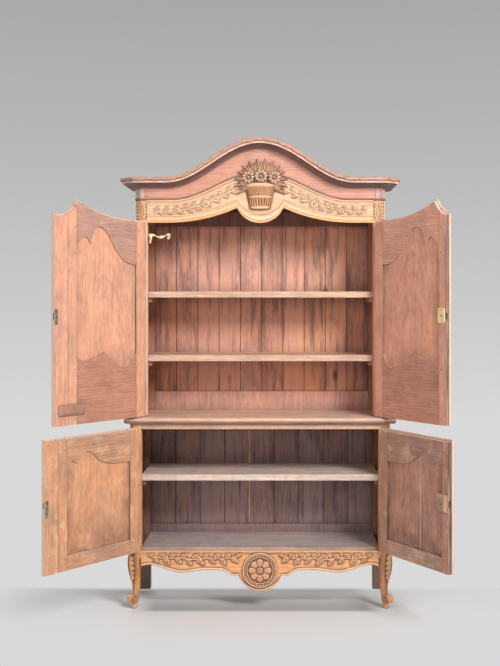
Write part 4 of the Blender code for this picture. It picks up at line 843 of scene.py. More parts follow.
def rail_carving():
    """Carved face of the arched rail: over x and the share of its height, a plain border, a bead that
    follows the lower edge, and flowers, leaves and a stem, mirrored about the middle, on a sunk field."""
    x, z = carved_face(UPPER_OPENING / 2 - SIDE_GAP, 65, lambda x: rail_edge(x) + RAIL_CLEAR,
                       lambda x: frieze_line(x) - 0.0008)
    above, under, away = z - rail_edge(x), frieze_line(x) - z, np.abs(x)
    border = 0.0035 * eased(above - RAIL_CLEAR, SOFT) * eased(RAIL_BORDER - above, 0.0025)
    bead = 0.0052 * hump(above - RAIL_BORDER - 0.003, 0.0042) * pearls(x, 0.011)
    top_band = highest(0.0040 * eased(0.007 - under, SOFT), 0.0036 * hump(under - 0.021, 0.003))
    line = smooth_line(RAIL_STEM, 10)
    vine = 0.0045 * stem(away, z, line, 0.0045)
    inside = eased(above - RAIL_BORDER - 0.0075, SOFT) * eased(under - 0.0245, SOFT)
    leaves = 0.0078 * inside * spray(away, z, line, 0.0235, 0.034, 0.0085)
    blooms = highest(*(0.0100 * flower(away, z, *bloom) for bloom in RAIL_BLOOMS))
    field = np.where(above > RAIL_BORDER + 0.004, 0.0006, 0.0)
    texture = 0.0004 * np.sin(900.0 * x + 300.0 * z) * np.sin(1100.0 * z) * (field > 0)
    height = 0.0004 + highest(border, bead, top_band, vine, leaves, blooms, field + np.maximum(texture, 0.0))
    body = relief(stacked(x, UPPER_FRONT - height, z), UPPER_FRONT + SLAB_BED)
    carve("rail_carving", body, RAIL_OAK, plain=eased(RAIL_BORDER + SOFT - above, SOFT),
          **carving_shares(height, CARVING_REACH, CARVING_FULL))


# Cornice: rope on the crown and bead under the frieze

ROLL_R = 0.0108
ROLL_OUT = CROWN_PROJECTION - 0.0094
ROLL_UP = 0.0412
ROLL_STEP = 0.0030
ROLL_PITCH = 0.150
ROLL_SIDES = 24
COVE_FROM = 0.006
COVE_TO = 0.064
COVE_HEIGHT = 0.0239
COVE_SHIFT = (0.0012, -0.0014)
COVE_BACK = (-0.0020, 0.0030)
FILLET_SECTION = ((0.0652, 0.0236), (0.0658, 0.0285), (0.0652, 0.0334), (0.0610, 0.0334), (0.0610, 0.0236))
BEAD_R = 0.0045


def cornice_path(out, level):
    """A line round the cornice at a distance out from its face: from the back, round the canted corner, over
    the arched front and back again; level gives its height at each x."""
    front, half, corner = FRIEZE_FRONT, UPPER_HALF, UPPER_HALF - UPPER_CANT
    bend = out * math.tan(math.pi / 8)
    x = np.linspace(-corner - bend, corner + bend, 161)
    ends = np.array([[half + out, BACK - 0.002], [half + out, front + UPPER_CANT - bend]])
    plan = np.concatenate([ends * (-1, 1), stacked(x, front - out), ends[::-1]])
    return np.column_stack([plan, level(plan[:, 0])])


def swept(path, radius, sides):
    """Rings round a path: at each point a circle across it, its radius one number or a grid over place and
    angle."""
    along = unit(np.gradient(path, axis=0))
    across = unit(np.cross(along, (0.0, 0.0, 1.0)))
    up = np.cross(across, along)
    angle = np.linspace(0.0, TURN, sides, endpoint=False)[None, :]
    size = np.broadcast_to(radius, (len(path), sides))
    return (path[:, None, :] + (size * np.cos(angle))[..., None] * across[:, None, :]
            + (size * np.sin(angle))[..., None] * up[:, None, :])


def crown_level(up):
    """Height of a line of the crown: so far above its foot, more where the arch is steep."""
    def level(x):
        """The crown's foot plus the rise, stretched by the slope."""
        slope = (crown_line(x + 0.001) - crown_line(x - 0.001)) / 0.002
        return crown_line(x) + up * np.sqrt(1.0 + slope ** 2)
    return level


def crown_roll():
    """Rope on the crown: a circle carried along the crown's edge, its radius a wave that winds round as it
    goes, mirrored about the middle."""
    path = even_steps(cornice_path(ROLL_OUT, crown_level(ROLL_UP)), ROLL_STEP)
    turns = TURN * ROLL_STEP / ROLL_PITCH
    steps = np.abs(np.arange(len(path)) - len(path) / 2)
    angle, place = np.meshgrid(np.linspace(0.0, TURN, ROLL_SIDES, endpoint=False), steps)
    wound = np.abs(np.sin(angle / 2 + turns * place))
    size = ROLL_R * (0.52 + 0.48 * wound ** 0.45)
    # The grooves between the strands carry the sunk share: painted shade
    make("crown_roll", tube(swept(path, size, ROLL_SIDES)), ROLL_OAK, "carcass", "oak_case", sharp=70.0,
         sunk=np.clip(1.2 - wound / 0.58, 0.0, 1.0))


def crown_strip(name, section, finish):
    """A moulding round the crown: a section of (out, up) points, each carried along its own line."""
    rings = np.stack([cornice_path(out, crown_level(up)) for out, up in section], axis=1)
    make(name, tube(rings), finish, "carcass", "oak_case", sharp=30.0)


def crown_mouldings():
    """Worn fillet, pale with a painted highlight, under the rope, and the hollow under it in painted shade.
    """
    crown_strip("crown_fillet", FILLET_SECTION, FILLET_OAK)
    bend = np.linspace(0.10, 0.46 * np.pi, 9)
    out = COVE_FROM + (COVE_TO - COVE_FROM) * (1 - np.cos(bend))
    hollow = stacked(out, COVE_HEIGHT * np.sin(bend)) + COVE_SHIFT
    crown_strip("crown_cove", np.concatenate([hollow, hollow[::-1] + COVE_BACK]), COVE_OAK)


def frieze_bead():
    """Half-round bead at the frieze's foot: a circle carried along the line between rail and frieze."""
    path = even_steps(cornice_path(0.0, lambda x: frieze_line(x) + BEAD_R), 0.006)
    make("frieze_bead", tube(swept(path, BEAD_R, 10)), BEAD_OAK, "carcass", "oak_case")


# Basket of flowers

BASKET_BASE = 2.004
BASKET_RIM = 2.126
BASKET_BANDS = ((0.05, 0.055), (0.47, 0.050), (0.93, 0.075))
BASKET_FLOWERS = (((-0.0600, 2.163), 0.031, 9), ((0.004, 2.168), 0.034, 10), ((0.0720, 2.162), 0.032, 9))
FLOWER_DEPTH = 0.026
FAN_MIDDLE = (0.004, 2.148)
FAN_LEAVES = 27
FAN_SPREAD = math.radians(120.0)
FAN_WIDER = 1.18
FAN_FROM = 0.030


def basket_cup():
    """Half-round basket: an ellipse in plan whose radius follows the height, with woven bands above, upright
    staves below, a rim and a middle band; closed by a flat back. Gives the body and its carving shares."""
    share, angle = np.meshgrid(np.linspace(0.0, 1.0, 97), np.linspace(0.0, np.pi, 161), indexing="ij")
    z = BASKET_BASE + (BASKET_RIM - BASKET_BASE) * share
    upper = eased(share - 0.52, 0.02) * eased(0.86 - share, 0.02)
    lower = eased(0.42 - share, 0.02) * eased(share - 0.10, 0.02)
    slant, counter = np.sin(angle * 11 + share * 26), np.sin(angle * 11 - share * 26)
    weave = highest(np.abs(slant) ** 5, np.abs(counter) ** 5)
    staves = hump(np.sin(angle * 12), 0.86)
    bands = highest(*(hump(share - middle, half) for middle, half in BASKET_BANDS))
    carving = 0.0045 * weave * upper + 0.0060 * staves * lower + 0.0070 * bands
    radius = 0.046 + 0.030 * share ** 1.1 + carving
    z += 0.007 * share * np.sin(angle) ** 2
    # Painted shade on both sides, where the cup turns away: added to the sunk share, taken from the proud one
    aside = np.abs(np.cos(angle)) ** 5
    sunk = upper * np.clip(1.0 - weave / 0.30, 0.0, 1.0) + lower * np.clip(1.15 - staves / 0.50, 0.0, 1.0)
    front = stacked(-radius * np.cos(angle), FRIEZE_FRONT - 0.0005 - 0.45 * radius * np.sin(angle), z)
    shares = {"sunk": np.clip(sunk + 0.7 * aside, 0.0, 1.0), "proud": np.clip(bands - aside, 0.0, 1.0)}
    return tube(front), shares


def bloom(middle, radius, petals):
    """A full flower: a polar grid whose height is a raised rim of petals round a hollow with a button."""
    share, angle = polar(29, 72)
    wave = np.abs(np.cos(petals * angle / 2))
    petal = 0.75 * hump(share - 0.70, 0.30) * (0.55 + 0.45 * wave)
    button = 0.95 * hump(share, 0.20)
    height = np.where(share < 1.0, 0.25 + highest(petal, button), 0.0)
    rim = radius * share * (1.0 - 0.14 * (1.0 - wave) * share)
    rings = stacked(middle[0] + rim * np.cos(angle), FRIEZE_FRONT - 0.001 - FLOWER_DEPTH * height,
                    middle[1] + rim * np.sin(angle))
    # Painted shade in the ring round the button and between the outer petals
    sunk = np.exp(-((share - 0.33) / 0.08) ** 2) + 0.5 * (1.0 - wave) ** 4 * (share > 0.5)
    return tube(rings), np.clip(sunk, 0.0, 1.0).ravel()


def blade(start, end, width, lift, curl):
    """A pointed leaf: along it a sine's width and an arched stand-off, across it a fold at the midrib."""
    share, side = np.meshgrid(np.linspace(0.0, 1.0, 21), np.linspace(-1.0, 1.0, 11), indexing="ij")
    along = np.subtract(end, start)
    length = np.hypot(*along)
    ahead, cross = along / length, np.array([-along[1], along[0]]) / length
    half = width * np.sin(np.pi * share ** 0.70) ** 0.8 + 1e-4
    bend = curl * length * share ** 2
    x, z = (start[axis] + ahead[axis] * length * share + cross[axis] * (half * side + bend)
            for axis in (0, 1))
    stand = lift * np.sin(np.pi * np.clip(share * 0.9 + 0.05, 0, 1)) ** 0.6 * (1.0 - 0.6 * side ** 2) + 0.0012
    crease = 0.35 * lift * np.exp(-(side / 0.16) ** 2)
    body = relief(stacked(x, FRIEZE_FRONT - stand + crease, z), FRIEZE_FRONT - 0.0004)
    # Painted shade near the leaf's edges and along the crease; its sides and back are all shade
    sunk = eased(np.abs(side) - 0.70, 0.30) * 0.8 + 0.4 * np.exp(-(side / 0.15) ** 2) * (share < 0.7)
    return body, np.concatenate([sunk.ravel(), np.ones(len(body[0]) - sunk.size)])


def fan_leaves():
    """Leaves that stand out round the flowers: each starts inside the fan and ends on an ellipse, longer and
    shorter in turn, and bends a little outwards."""
    angles = np.linspace(-FAN_SPREAD, FAN_SPREAD, FAN_LEAVES)
    longer = np.arange(FAN_LEAVES) % 2 == 0
    ways = stacked(FAN_WIDER * np.sin(angles), np.cos(angles))
    reach = (np.where(longer, 0.112, 0.098) + 0.012 * (angles / FAN_SPREAD) ** 4)[:, None]
    starts, ends = FAN_MIDDLE + ways * FAN_FROM, FAN_MIDDLE + ways * reach
    return [blade(start, end, 0.0100, 0.018 if long else 0.012, -0.10 * angle / FAN_SPREAD)
            for start, end, long, angle in zip(starts, ends, longer, angles)]


def flower_basket():
    """The carved basket on rail and frieze, with its flowers and leaves, in place of the plain solid."""
    body, shares = basket_cup()
    cup = carve("basket_cup", body, BASKET_OAK, **shares)
    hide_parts("flower_basket")
    for name, made, finish in (("basket_flowers", [bloom(*each) for each in BASKET_FLOWERS], BLOOM_OAK),
                               ("basket_leaves", fan_leaves(), FAN_OAK)):
        carve(name, joined(*(body for body, _ in made)), finish,
              sunk=np.concatenate([sunk for _, sunk in made]))


# Apron

APRON_STEM = ((0.560, 0.270), (0.520, 0.262), (0.472, 0.253), (0.400, 0.257), (0.355, 0.250), (0.308, 0.248),
              (0.250, 0.256), (0.187, 0.252), (0.115, 0.263))
APRON_BLOOMS = (((0.472, 0.254), 0.0155, 7), ((0.308, 0.249), 0.0170, 7), ((0.545, 0.266), 0.0100, 5),
                ((0.385, 0.257), 0.0095, 5), ((0.225, 0.256), 0.0095, 5))
MEDALLION_R = 0.088
MEDALLION_Z = 0.196
MEDALLION_PROUD = 0.010
MEDALLION_RINGS = ((0.0835, 0.0044), (0.0655, 0.0030))


def apron_carving():
    """Carved face of the apron: over x and the share of its height, a bead along the scrolled edge, and a
    stem with leaves and small round flowers, mirrored about the middle."""
    x, z = carved_face(LOWER_OPENING / 2 - SIDE_GAP, 57, lambda x: apron_edge(x) + 0.0008,
                       lambda x: APRON_TOP - 0.0015)
    above, away = z - apron_edge(x), np.abs(x)
    bead = 0.0042 * hump(above - 0.0065, 0.0052)
    top_band = 0.0026 * eased(0.010 - (APRON_TOP - z), SOFT)
    line = smooth_line(APRON_STEM, 10)
    vine = 0.0040 * stem(away, z, line, 0.0042)
    clear = eased(above - 0.014, SOFT) * eased(APRON_TOP - 0.012 - z, SOFT)
    leaves = 0.0078 * clear * spray(away, z, line, 0.0265, 0.043, 0.0125)
    blooms = 0.0092 * clear * highest(*(flower(away, z, *bloom) for bloom in APRON_BLOOMS))
    height = 0.0003 + highest(bead, top_band, vine, leaves, blooms)
    carve("apron_carving", relief(stacked(x, LOWER_FRONT - height, z), LOWER_FRONT + SLAB_BED), CARVED_OAK,
          **carving_shares(height, CARVING_REACH, CARVING_FULL))


def medallion():
    """Rosette on the apron: a polar grid with a ring of beads between two fillets, round a flower of eight
    petals."""
    share, angle = polar(65, 192)
    away = MEDALLION_R * share
    x, z = away * np.cos(angle), away * np.sin(angle)
    rings = highest(*(hump(away - middle, half) for middle, half in MEDALLION_RINGS))
    beads = hump(away - 0.0745, 0.0052) * np.abs(np.sin(20 * angle)) ** 0.6
    rosette = flower(x, z, (0.0, 0.0), 0.058, 8)
    height = 0.0006 + highest(0.0055 * rings, 0.0048 * beads, 0.0105 * rosette)
    height = np.where(share < 1.0, height, -0.0040)
    body = tube(stacked(x, LOWER_FRONT - MEDALLION_PROUD - height, MEDALLION_Z + z))
    carve("medallion_rosette", body, MEDALLION_OAK, **carving_shares(height, CARVING_REACH, 0.0012))


# Door fittings

PLATE_BED = 0.0006
KEYHOLE_R = 0.0036
LOCK_BOX_THICK = 0.0160
FRONT_PLATE_HALF = (0.017, 0.045)
FRONT_PLATE_THICK = 0.0022
FRONT_KEYHOLES = (("upper_right_door", 0.505, 1.470), ("lower_right_door", 0.530, 0.614))
LOCK_NAILS = [(u, z) for u in (0.484, 0.523) for z in (1.442, 1.504)]
CLEAT_NAILS = [(0.440, 1.030), (0.500, 1.036), (0.565, 1.028)]


def plate_relief(u0, u1, z0, z1, thick, corner=0.30, deep=DOOR_INSIDE, way=1):
    """A metal or wooden plate with softened edges: a rounded rectangle whose thickness falls off at its rim;
    it stands out to the inside, or with way -1 to the front."""
    across, up = np.meshgrid(np.linspace(-1.0, 1.0, 29), np.linspace(-1.0, 1.0, 37))
    half_u, half_z = (u1 - u0) / 2, (z1 - z0) / 2
    u = (u0 + u1) / 2 + half_u * across * np.sqrt(1.0 - corner * np.abs(up) ** 6 / 2)
    z = (z0 + z1) / 2 + half_z * up * np.sqrt(1.0 - corner * np.abs(across) ** 6 / 2)
    rim = np.minimum((1.0 - np.abs(across)) * half_u, (1.0 - np.abs(up)) * half_z)
    height = thick * np.sqrt(np.clip(rim / (0.8 * thick), 0.08, 1.0))
    return relief(stacked(u, deep + way * height, z), deep - way * PLATE_BED)


def keyhole(u, z, deep, way=1):
    """A keyhole in painted shade: a round eye over a tapering slot, as one thin dished relief of dark iron.
    """
    share, angle = polar(7, 40)
    drop = np.clip(-np.sin(angle), 0.0, 1.0)
    radius = KEYHOLE_R * share * (1.0 + 2.2 * drop ** 6)
    return tube(stacked(u + radius * np.cos(angle), deep + way * PLATE_BED * (1.0 - share),
                        z + radius * np.sin(angle)))


def studs(places, radius, deep, height):
    """Small domed heads of nails or pegs: one polar dome, repeated at the given (u, z) places."""
    share, angle = polar(5, 12)
    away, top = radius * share, height * np.sqrt(1.0 - share ** 2) - 0.0004 * (share == 1.0)
    return joined(*(tube(stacked(u + away * np.cos(angle), deep + top, z + away * np.sin(angle)))
                    for u, z in places))


def door_hardware():
    """Lock plate, strike plates, lock box, keyholes, wooden cleat and nails on the doors' inner faces, and
    keyhole plates on the fronts of the right doors."""
    inside = DOOR_INSIDE
    hang("upper_lock_plate", plate_relief(0.478, 0.529, 1.436, 1.510, 0.0030), BRASS, "upper_right_door")
    hang("upper_lock_keyhole", keyhole(0.505, 1.476, inside + 0.0029), IRON, "upper_right_door")
    hang("upper_lock_nails", studs(LOCK_NAILS, 0.0024, inside + 0.0028, 0.0012), IRON, "upper_right_door")
    hang("upper_strike_plate", plate_relief(0.5895, 0.6090, 1.430, 1.505, 0.0020), STEEL, "upper_left_door")
    hang("lower_strike_plate", plate_relief(0.6095, 0.6290, 0.556, 0.636, 0.0020), STEEL, "lower_left_door")
    hang("door_cleat", plate_relief(0.420, 0.585, 1.005, 1.058, 0.0130, 0.10), CLEAT_OAK, "upper_left_door",
         "oak_door")
    hang("cleat_nails", studs(CLEAT_NAILS, 0.0028, inside + 0.0128, 0.0012), IRON, "upper_left_door")
    lock_box = hang("lower_lock_box", plate_relief(0.4700, 0.5545, 0.571, 0.657, LOCK_BOX_THICK, 0.10),
                    LOCK_BOX_OAK, "lower_right_door", "oak_door")
    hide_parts("lower_right_door_lock_case")
    hang("lower_lock_keyhole", keyhole(0.5275, 0.618, inside + LOCK_BOX_THICK), IRON, "lower_right_door")
    half_u, half_z = FRONT_PLATE_HALF
    for door, u, z in FRONT_KEYHOLES:
        plate = plate_relief(u - half_u, u + half_u, z - half_z, z + half_z, FRONT_PLATE_THICK, 0.9,
                             DOOR_FRONT, -1)
        hang(door + "_keyhole_plate", plate, BRASS, door)
        hang(door + "_front_keyhole", keyhole(u, z + 0.004, DOOR_FRONT - FRONT_PLATE_THICK, -1), IRON, door)


def door_pegs():
    """Wooden pegs through the doors' tenons, on their inner faces, two at each joint."""
    for name, door in DOORS.items():
        top, bottom = door.body.top, door.body.bottom
        heads = (top - 0.05, top - door.body.peg_drop, bottom + 0.03, bottom + door.body.peg_rise)
        places = [(u, z) for u in (HINGE_STILE - 0.016, door.outer + 0.014) for z in heads]
        hang(name + "_pegs", studs(places, 0.0042, DOOR_INSIDE, 0.0007), PEG_OAK, name, "oak_door")


HOOK_ROD = ((0.004, 0.0, 1.872), (0.030, 0.0, 1.874), (0.055, 0.0, 1.864), (0.078, 0.0, 1.866),
            (0.098, 0.0, 1.876), (0.111, 0.0, 1.872), (0.108, 0.0, 1.860), (0.099, 0.0, 1.862))
HOOK_LEAF = ((0.010, 0.0, 1.876), (0.016, -0.002, 1.860), (0.012, 0.0, 1.842), (0.014, 0.0, 1.832))


def brass_hook():
    """A brass door hook: an upright leaf on the post, and a rod that leaves it, dips and curls up."""
    post = (-UPPER_OPENING / 2, UPPER_FRONT + 0.032, 0.0)
    rod, upright = (smooth_line(np.add(post, line), 14) for line in (HOOK_ROD, HOOK_LEAF))
    thick = 0.0058 + 0.0030 * np.sin(np.linspace(0.0, 7 * np.pi, len(rod)))[:, None]
    broad = 0.0090 * np.sqrt(np.linspace(1.0, 0.15, len(upright)))[:, None]
    body = joined(tube(swept(rod, thick, 10)), tube(swept(upright, broad, 10)))
    make("door_hook", body, BRASS, "carcass", "forged_iron")


# Corners and legs

CANT_BED = 0.0012
BEAD_PITCH = 0.016


def on_cants(name, low, high, rows, carving, face, finish):
    """A closed strip on each canted corner: over the cant's width and the height, a carving out of it."""
    across, z = np.meshgrid(np.linspace(-1.0, 1.0, 13), np.linspace(low, high, rows))
    height = carving(across, z)
    half = UPPER_CANT / 2 * 0.94
    out = height / math.sqrt(2.0)
    sunk = carving_shares(height, 1, 0.0010)["sunk"]
    for side, label in SIDES:
        x = side * (UPPER_HALF - UPPER_CANT / 2 + half * across + out)
        y = face + UPPER_CANT / 2 + half * across - out
        front = stacked(x, y, z)
        back = front - stacked(side * (out + CANT_BED), -(out + CANT_BED), 0.0)
        shares = np.concatenate([sunk, np.zeros_like(sunk)], axis=1)
        carve(f"{label}_{name}", tube(np.concatenate([front, back[:, ::-1]], axis=1)), finish, sunk=shares)


def bead_chain(across, z):
    """A chain of round beads between two fillets."""
    phase = (z / BEAD_PITCH) % 1.0 - 0.5
    bead = np.sqrt(np.clip(1.0 - (phase / 0.46) ** 2 - (across / 0.50) ** 2, 0.0, None))
    return 0.0003 + highest(0.0034 * bead, 0.0022 * hump(np.abs(across) - 0.80, 0.18))


def corner_carving():
    """Chains of beads down the canted corners of the upper posts, and a shallow hollow on the frieze's
    corners above them."""
    on_cants("corner_carving", WAIST_TOP + 0.004, UPPER_TOP - 0.004, 601, bead_chain, UPPER_FRONT, CORNER_OAK)
    on_cants("frieze_corner", UPPER_TOP + 0.010, CROWN_FOOT - 0.004, 25,
             lambda across, z: 0.0006 + 0.0024 * across ** 2, FRIEZE_FRONT, FRIEZE_CORNER_OAK)


def post_blocks():
    """Carved heads of the upper posts: over width and height, a lobed leaf between two fillets."""
    middle = (UPPER_OPENING / 2 + UPPER_HALF - UPPER_CANT) / 2
    half = 0.46 * (UPPER_HALF - UPPER_CANT - UPPER_OPENING / 2)
    across, z = np.meshgrid(np.linspace(-half, half, 33),
                            np.linspace(OPEN_TOP + RAIL_CLEAR, UPPER_TOP - 0.006, 97))
    frond = leaf(across, z, (0.0, OPEN_TOP + 0.016), (0.0, UPPER_TOP - 0.012), 0.0125, 5)
    height = 0.0005 + highest(0.0055 * frond, 0.0030 * hump(half - np.abs(across), 0.0022))
    shares = carving_shares(height, CARVING_REACH, CARVING_FULL)
    for side, label in SIDES:
        front = stacked(side * middle + across, UPPER_FRONT - height, z)
        carve(label + "_post_head", relief(front, UPPER_FRONT + SLAB_BED), POST_HEAD_OAK, **shares)


SLIT_X = LOWER_BOARDS_FROM + 4 * LOWER_BOARD
SLIVER_SPANS = ((0.3500, 0.6375), (0.6685, 0.8430))
SLIVER_SIDES = np.array([-1.0, 1.0, 1.0, 1.0, 1.0, -1.0, -1.0, -1.0])
SLIVER_DEPTHS = np.array([0.2082, 0.2082, 0.2097, 0.2097, 0.2230, 0.2230, 0.2097, 0.2097])
SLIVER_HEAD = (0, 1, 2, 7)
SLIVER_SHANK_HALF = 0.0009


def back_slivers():
    """Slivers of pale wood let into the open joint of the lower back, below and above the shelf: a section
    like a nail's head on its shank, whose width wavers as it rises."""
    bodies = []
    for low, high in SLIVER_SPANS:
        z, corner = np.meshgrid(np.linspace(low, high, 41), np.arange(8), indexing="ij")
        head = 0.0034 + 0.0008 * np.sin(31.0 * z) + 0.0005 * np.sin(83.0 * z)
        half = np.where(np.isin(corner, SLIVER_HEAD), head, SLIVER_SHANK_HALF)
        x = SLIT_X + SLIVER_SIDES[corner] * half + 0.0004 * np.sin(19.0 * z)
        bodies.append(tube(stacked(x, SLIVER_DEPTHS[corner], z)))
    make("back_slivers", joined(*bodies), SLIVER_OAK, "carcass", "oak_inside")


LEG_X = 0.6235
LEG_Y = -0.2015
LEG_SECTIONS = ((0.2900, 0.0275, 0.000), (0.2450, 0.0290, 0.006), (0.2000, 0.0270, 0.006),
                (0.1500, 0.0215, 0.000), (0.1000, 0.0180, -0.003), (0.0650, 0.0175, 0.003),
                (0.0320, 0.0180, 0.008))
LEG_EDGE = 1.25 * np.pi
TOE_R = 0.0215
TOE_RISE = 0.047
TOE_OUT = 0.022
TOE_HALF_WIDTH = 0.018


def leg_skin(side):
    """Carved skin of a front leg: superellipses round a swaying middle line, with a leaf on the knee, veined
    and lobed, and a cord down the outer edge. Gives the body and its carving shares."""
    line = smooth_line(LEG_SECTIONS)
    turn, row = np.meshgrid(np.linspace(0.0, TURN, 72, endpoint=False), np.arange(len(line)))
    z, half, out = (line[:, column][row] for column in range(3))
    blunt = (np.abs(np.cos(turn)) ** 5 + np.abs(np.sin(turn)) ** 5) ** (-1 / 5)
    aside = np.arccos(np.clip(np.cos(turn - LEG_EDGE), -1, 1)) * half * np.sign(np.sin(turn - LEG_EDGE))
    knee = leaf(aside, z, (0.0, 0.282), (0.0, 0.128), 0.021, 6)
    cord = hump(turn - LEG_EDGE, 0.13) * (z < 0.135)
    carving = eased(0.288 - z, 0.006) * highest(0.0055 * knee, 0.0030 * cord)
    reach = (half + 0.0006) * blunt + carving
    x = reach * np.cos(turn) - out / math.sqrt(2.0)
    y = LEG_Y + reach * np.sin(turn) - out / math.sqrt(2.0)
    return tube(stacked(side * (LEG_X - x), y, z)), carving_shares(carving, CARVING_REACH, 0.0013)


def toe_scroll(side):
    """Volutes on both cheeks of a toe: a polar grid whose height is a spiral cord that winds in to a button.
    Gives the body and its carving shares."""
    share, angle = polar(33, 64)
    wind = (share * 2.6 - angle / TURN) % 1.0
    height = np.where(share < 0.22, hump(share, 0.24) * 1.4, hump(wind - 0.5, 0.40))
    height = np.where(share < 1.0, 0.0030 * height + 0.0006, -0.0010)
    diagonal, cheek = (np.array([way * side, -1.0]) / math.sqrt(2.0) for way in (1, -1))
    level = TOE_R * 0.97 * share
    forward = TOE_OUT + level * np.cos(angle)
    bodies = []
    for way in (-1, 1):
        aside = way * (TOE_HALF_WIDTH + height)
        x, y = (centre + forward * diagonal[axis] + aside * cheek[axis]
                for axis, centre in enumerate((side * LEG_X, LEG_Y)))
        bodies.append(tube(stacked(x, y, TOE_RISE + level * np.sin(angle))))
    shares = carving_shares(height, 1, 0.0008)
    return joined(*bodies), {key: np.tile(given.ravel(), 2) for key, given in shares.items()}


def legs():
    """Carved skins and toe scrolls of both front legs, over the plain solids."""
    for side, label in SIDES:
        body, shares = leg_skin(side)
        carve(label + "_leg_carving", body, LEG_OAK, sharp=50.0, **shares)
        body, shares = toe_scroll(side)
        carve(label + "_toe_scrolls", body, LEG_OAK, **shares)


# Door fronts

MOULDING = ((-0.006, -0.0005), (-0.0045, -0.0035), (-0.001, -0.0050), (0.003, -0.0035), (0.005, 0.0005),
            (0.008, 0.0030), (0.0125, 0.0050), (0.0150, 0.0090), (0.0150, 0.0100), (-0.006, 0.0010))
FIELD_STEPS = ((0.80, 0.0010), (0.80, -0.0004), (0.74, -0.0042), (0.735, -0.0056))
OUTLINE_STEP = 0.006


def panel_outline(door):
    """The edge of a door's panel as the frame shows it: smooth lines above and below, straight sides."""
    def across(points, base, unit_height):
        """A smooth (u, z) line through points given in shares of the panel's width and of a height."""
        return smooth_line([(HINGE_STILE + share * (door.outer - HINGE_STILE), base + level * unit_height)
                            for share, level in points], 6)

    head = across(door.body.head_line, door.body.top, door.body.head_drop)
    foot = across(door.body.foot_line, door.body.bottom, door.body.foot_rise)
    return even_steps(np.concatenate([foot, head[::-1], foot[:1]]), OUTLINE_STEP)[:-1]


def inward(loop):
    """Unit normals of a closed (u, z) loop that runs anticlockwise, pointing inside."""
    along = unit(np.roll(loop, -1, axis=0) - np.roll(loop, 1, axis=0))
    return stacked(-along[:, 1], along[:, 0])


def door_front(door):
    """Moulding round a panel's front, a section of (inward, deep) points carried round the panel's edge, and
    the raised field inside it, the same edge drawn in towards the middle in steps."""
    loop = panel_outline(DOORS[door])
    finish = DOOR_FINISHES[door]["panel"]
    section = np.array(MOULDING)
    edge = loop[:, None, :] + inward(loop)[:, None, :] * section[None, :, :1]
    rings = stacked(edge[..., 0], DOOR_FRONT + section[:, 1], edge[..., 1])
    hang(door + "_moulding", hoop(rings), finish, door, "oak_door")
    middle = (loop.min(axis=0) + loop.max(axis=0)) / 2
    panel = DOOR_FRONT + PANEL_SET
    drawn = [(middle + (loop - middle) * share, panel + depth) for share, depth in FIELD_STEPS]
    field = np.stack([stacked(line[:, 0], depth, line[:, 1]) for line, depth in drawn])
    hang(door + "_raised_field", tube(field), finish, door, "oak_panel")


# Floor, backdrop, light and camera

FLOOR_RINGS = (0.002, 1.0, 2.0, 4.0, 9.0)
FLOOR_R = FLOOR_RINGS[-1]
WALL_R = 12.0
WALL_TOP = 12.0
WALL_FADE = 8.0
FLOOR_GLOW = 0.695
SHADOW_HALF_WIDTH = 1.25
SHADOW_HALF_DEPTH = 0.85
LAMPS = {
    "key_lamp": ((2.9, -4.6, 4.3), (0.0, 0.2, 1.2), 2.0, 390.0),
    "fill_lamp": ((-3.6, -5.2, 3.6), (0.1, 0.3, 1.0), 3.6, 115.0),
    "back_lamp": ((-1.6, 6.0, 4.6), (0.0, 0.3, 1.2), 3.6, 90.0),
}
WORLD_STRENGTH = 0.28
SENSOR_MM = 36.0
LENS_MM = 62.2
LENS_SHIFT = -33.0 / 666.0
EYE = (CENTRE_X + 0.115, CENTRE_Y - 5.980, 1.545)


def staged(name, radii, heights, finish):
    """Make a stage piece, a line of radii and heights turned round the vertical, without a body to ride."""
    turn = np.linspace(0.0, TURN, 96, endpoint=False)
    radius, height = np.array(radii)[:, None], np.array(heights)[:, None]
    rings = stacked(radius * np.cos(turn), radius * np.sin(turn), height)
    mesh = bpy.data.meshes.new(name)
    mesh.from_pydata(rings.reshape(-1, 3).tolist(), [], grid_faces(*rings.shape[:2], wrap=True))
    mesh.shade_smooth()
    mesh.materials.append(finish)
    made = placed(name, mesh)
    return made


def backdrop():
    """A round floor and a wall that curves up from its edge, a quarter circle and a line turned about Z; the
    wall lets the even light of the world through."""
    staged("studio_floor", FLOOR_RINGS, np.zeros(len(FLOOR_RINGS)), floor_finish())
    bend = np.linspace(0.0, np.pi / 2, 17)
    rise = WALL_R - FLOOR_R
    wall = staged("studio_wall", [*(FLOOR_R + rise * np.sin(bend)), WALL_R],
                  [*(rise * (1.0 - np.cos(bend))), WALL_TOP], wall_finish())
    wall.visible_diffuse = False
    wall.visible_shadow = False


def glowing(made, colour, share):
    """Mix the shader with a plain glow that camera, glossy and transmitted rays see, by a share."""
    glow = made.add("ShaderNodeEmission", None, {"Color": colour, "Strength": 1.0})
    camera_ray, glossy_ray, passed_ray = (made.add("ShaderNodeLightPath", None, None, f"Is {kind} Ray")
                                          for kind in ("Camera", "Glossy", "Transmission"))
    seen = camera_ray + glossy_ray + passed_ray
    mixed = made.add("ShaderNodeMixShader", None,
                     {0: seen * share, 1: Value(made, made.shader.outputs[0]), 2: glow})
    made.tree.links.new(mixed.socket, made.tree.nodes["Material Output"].inputs["Surface"])
    return made.material


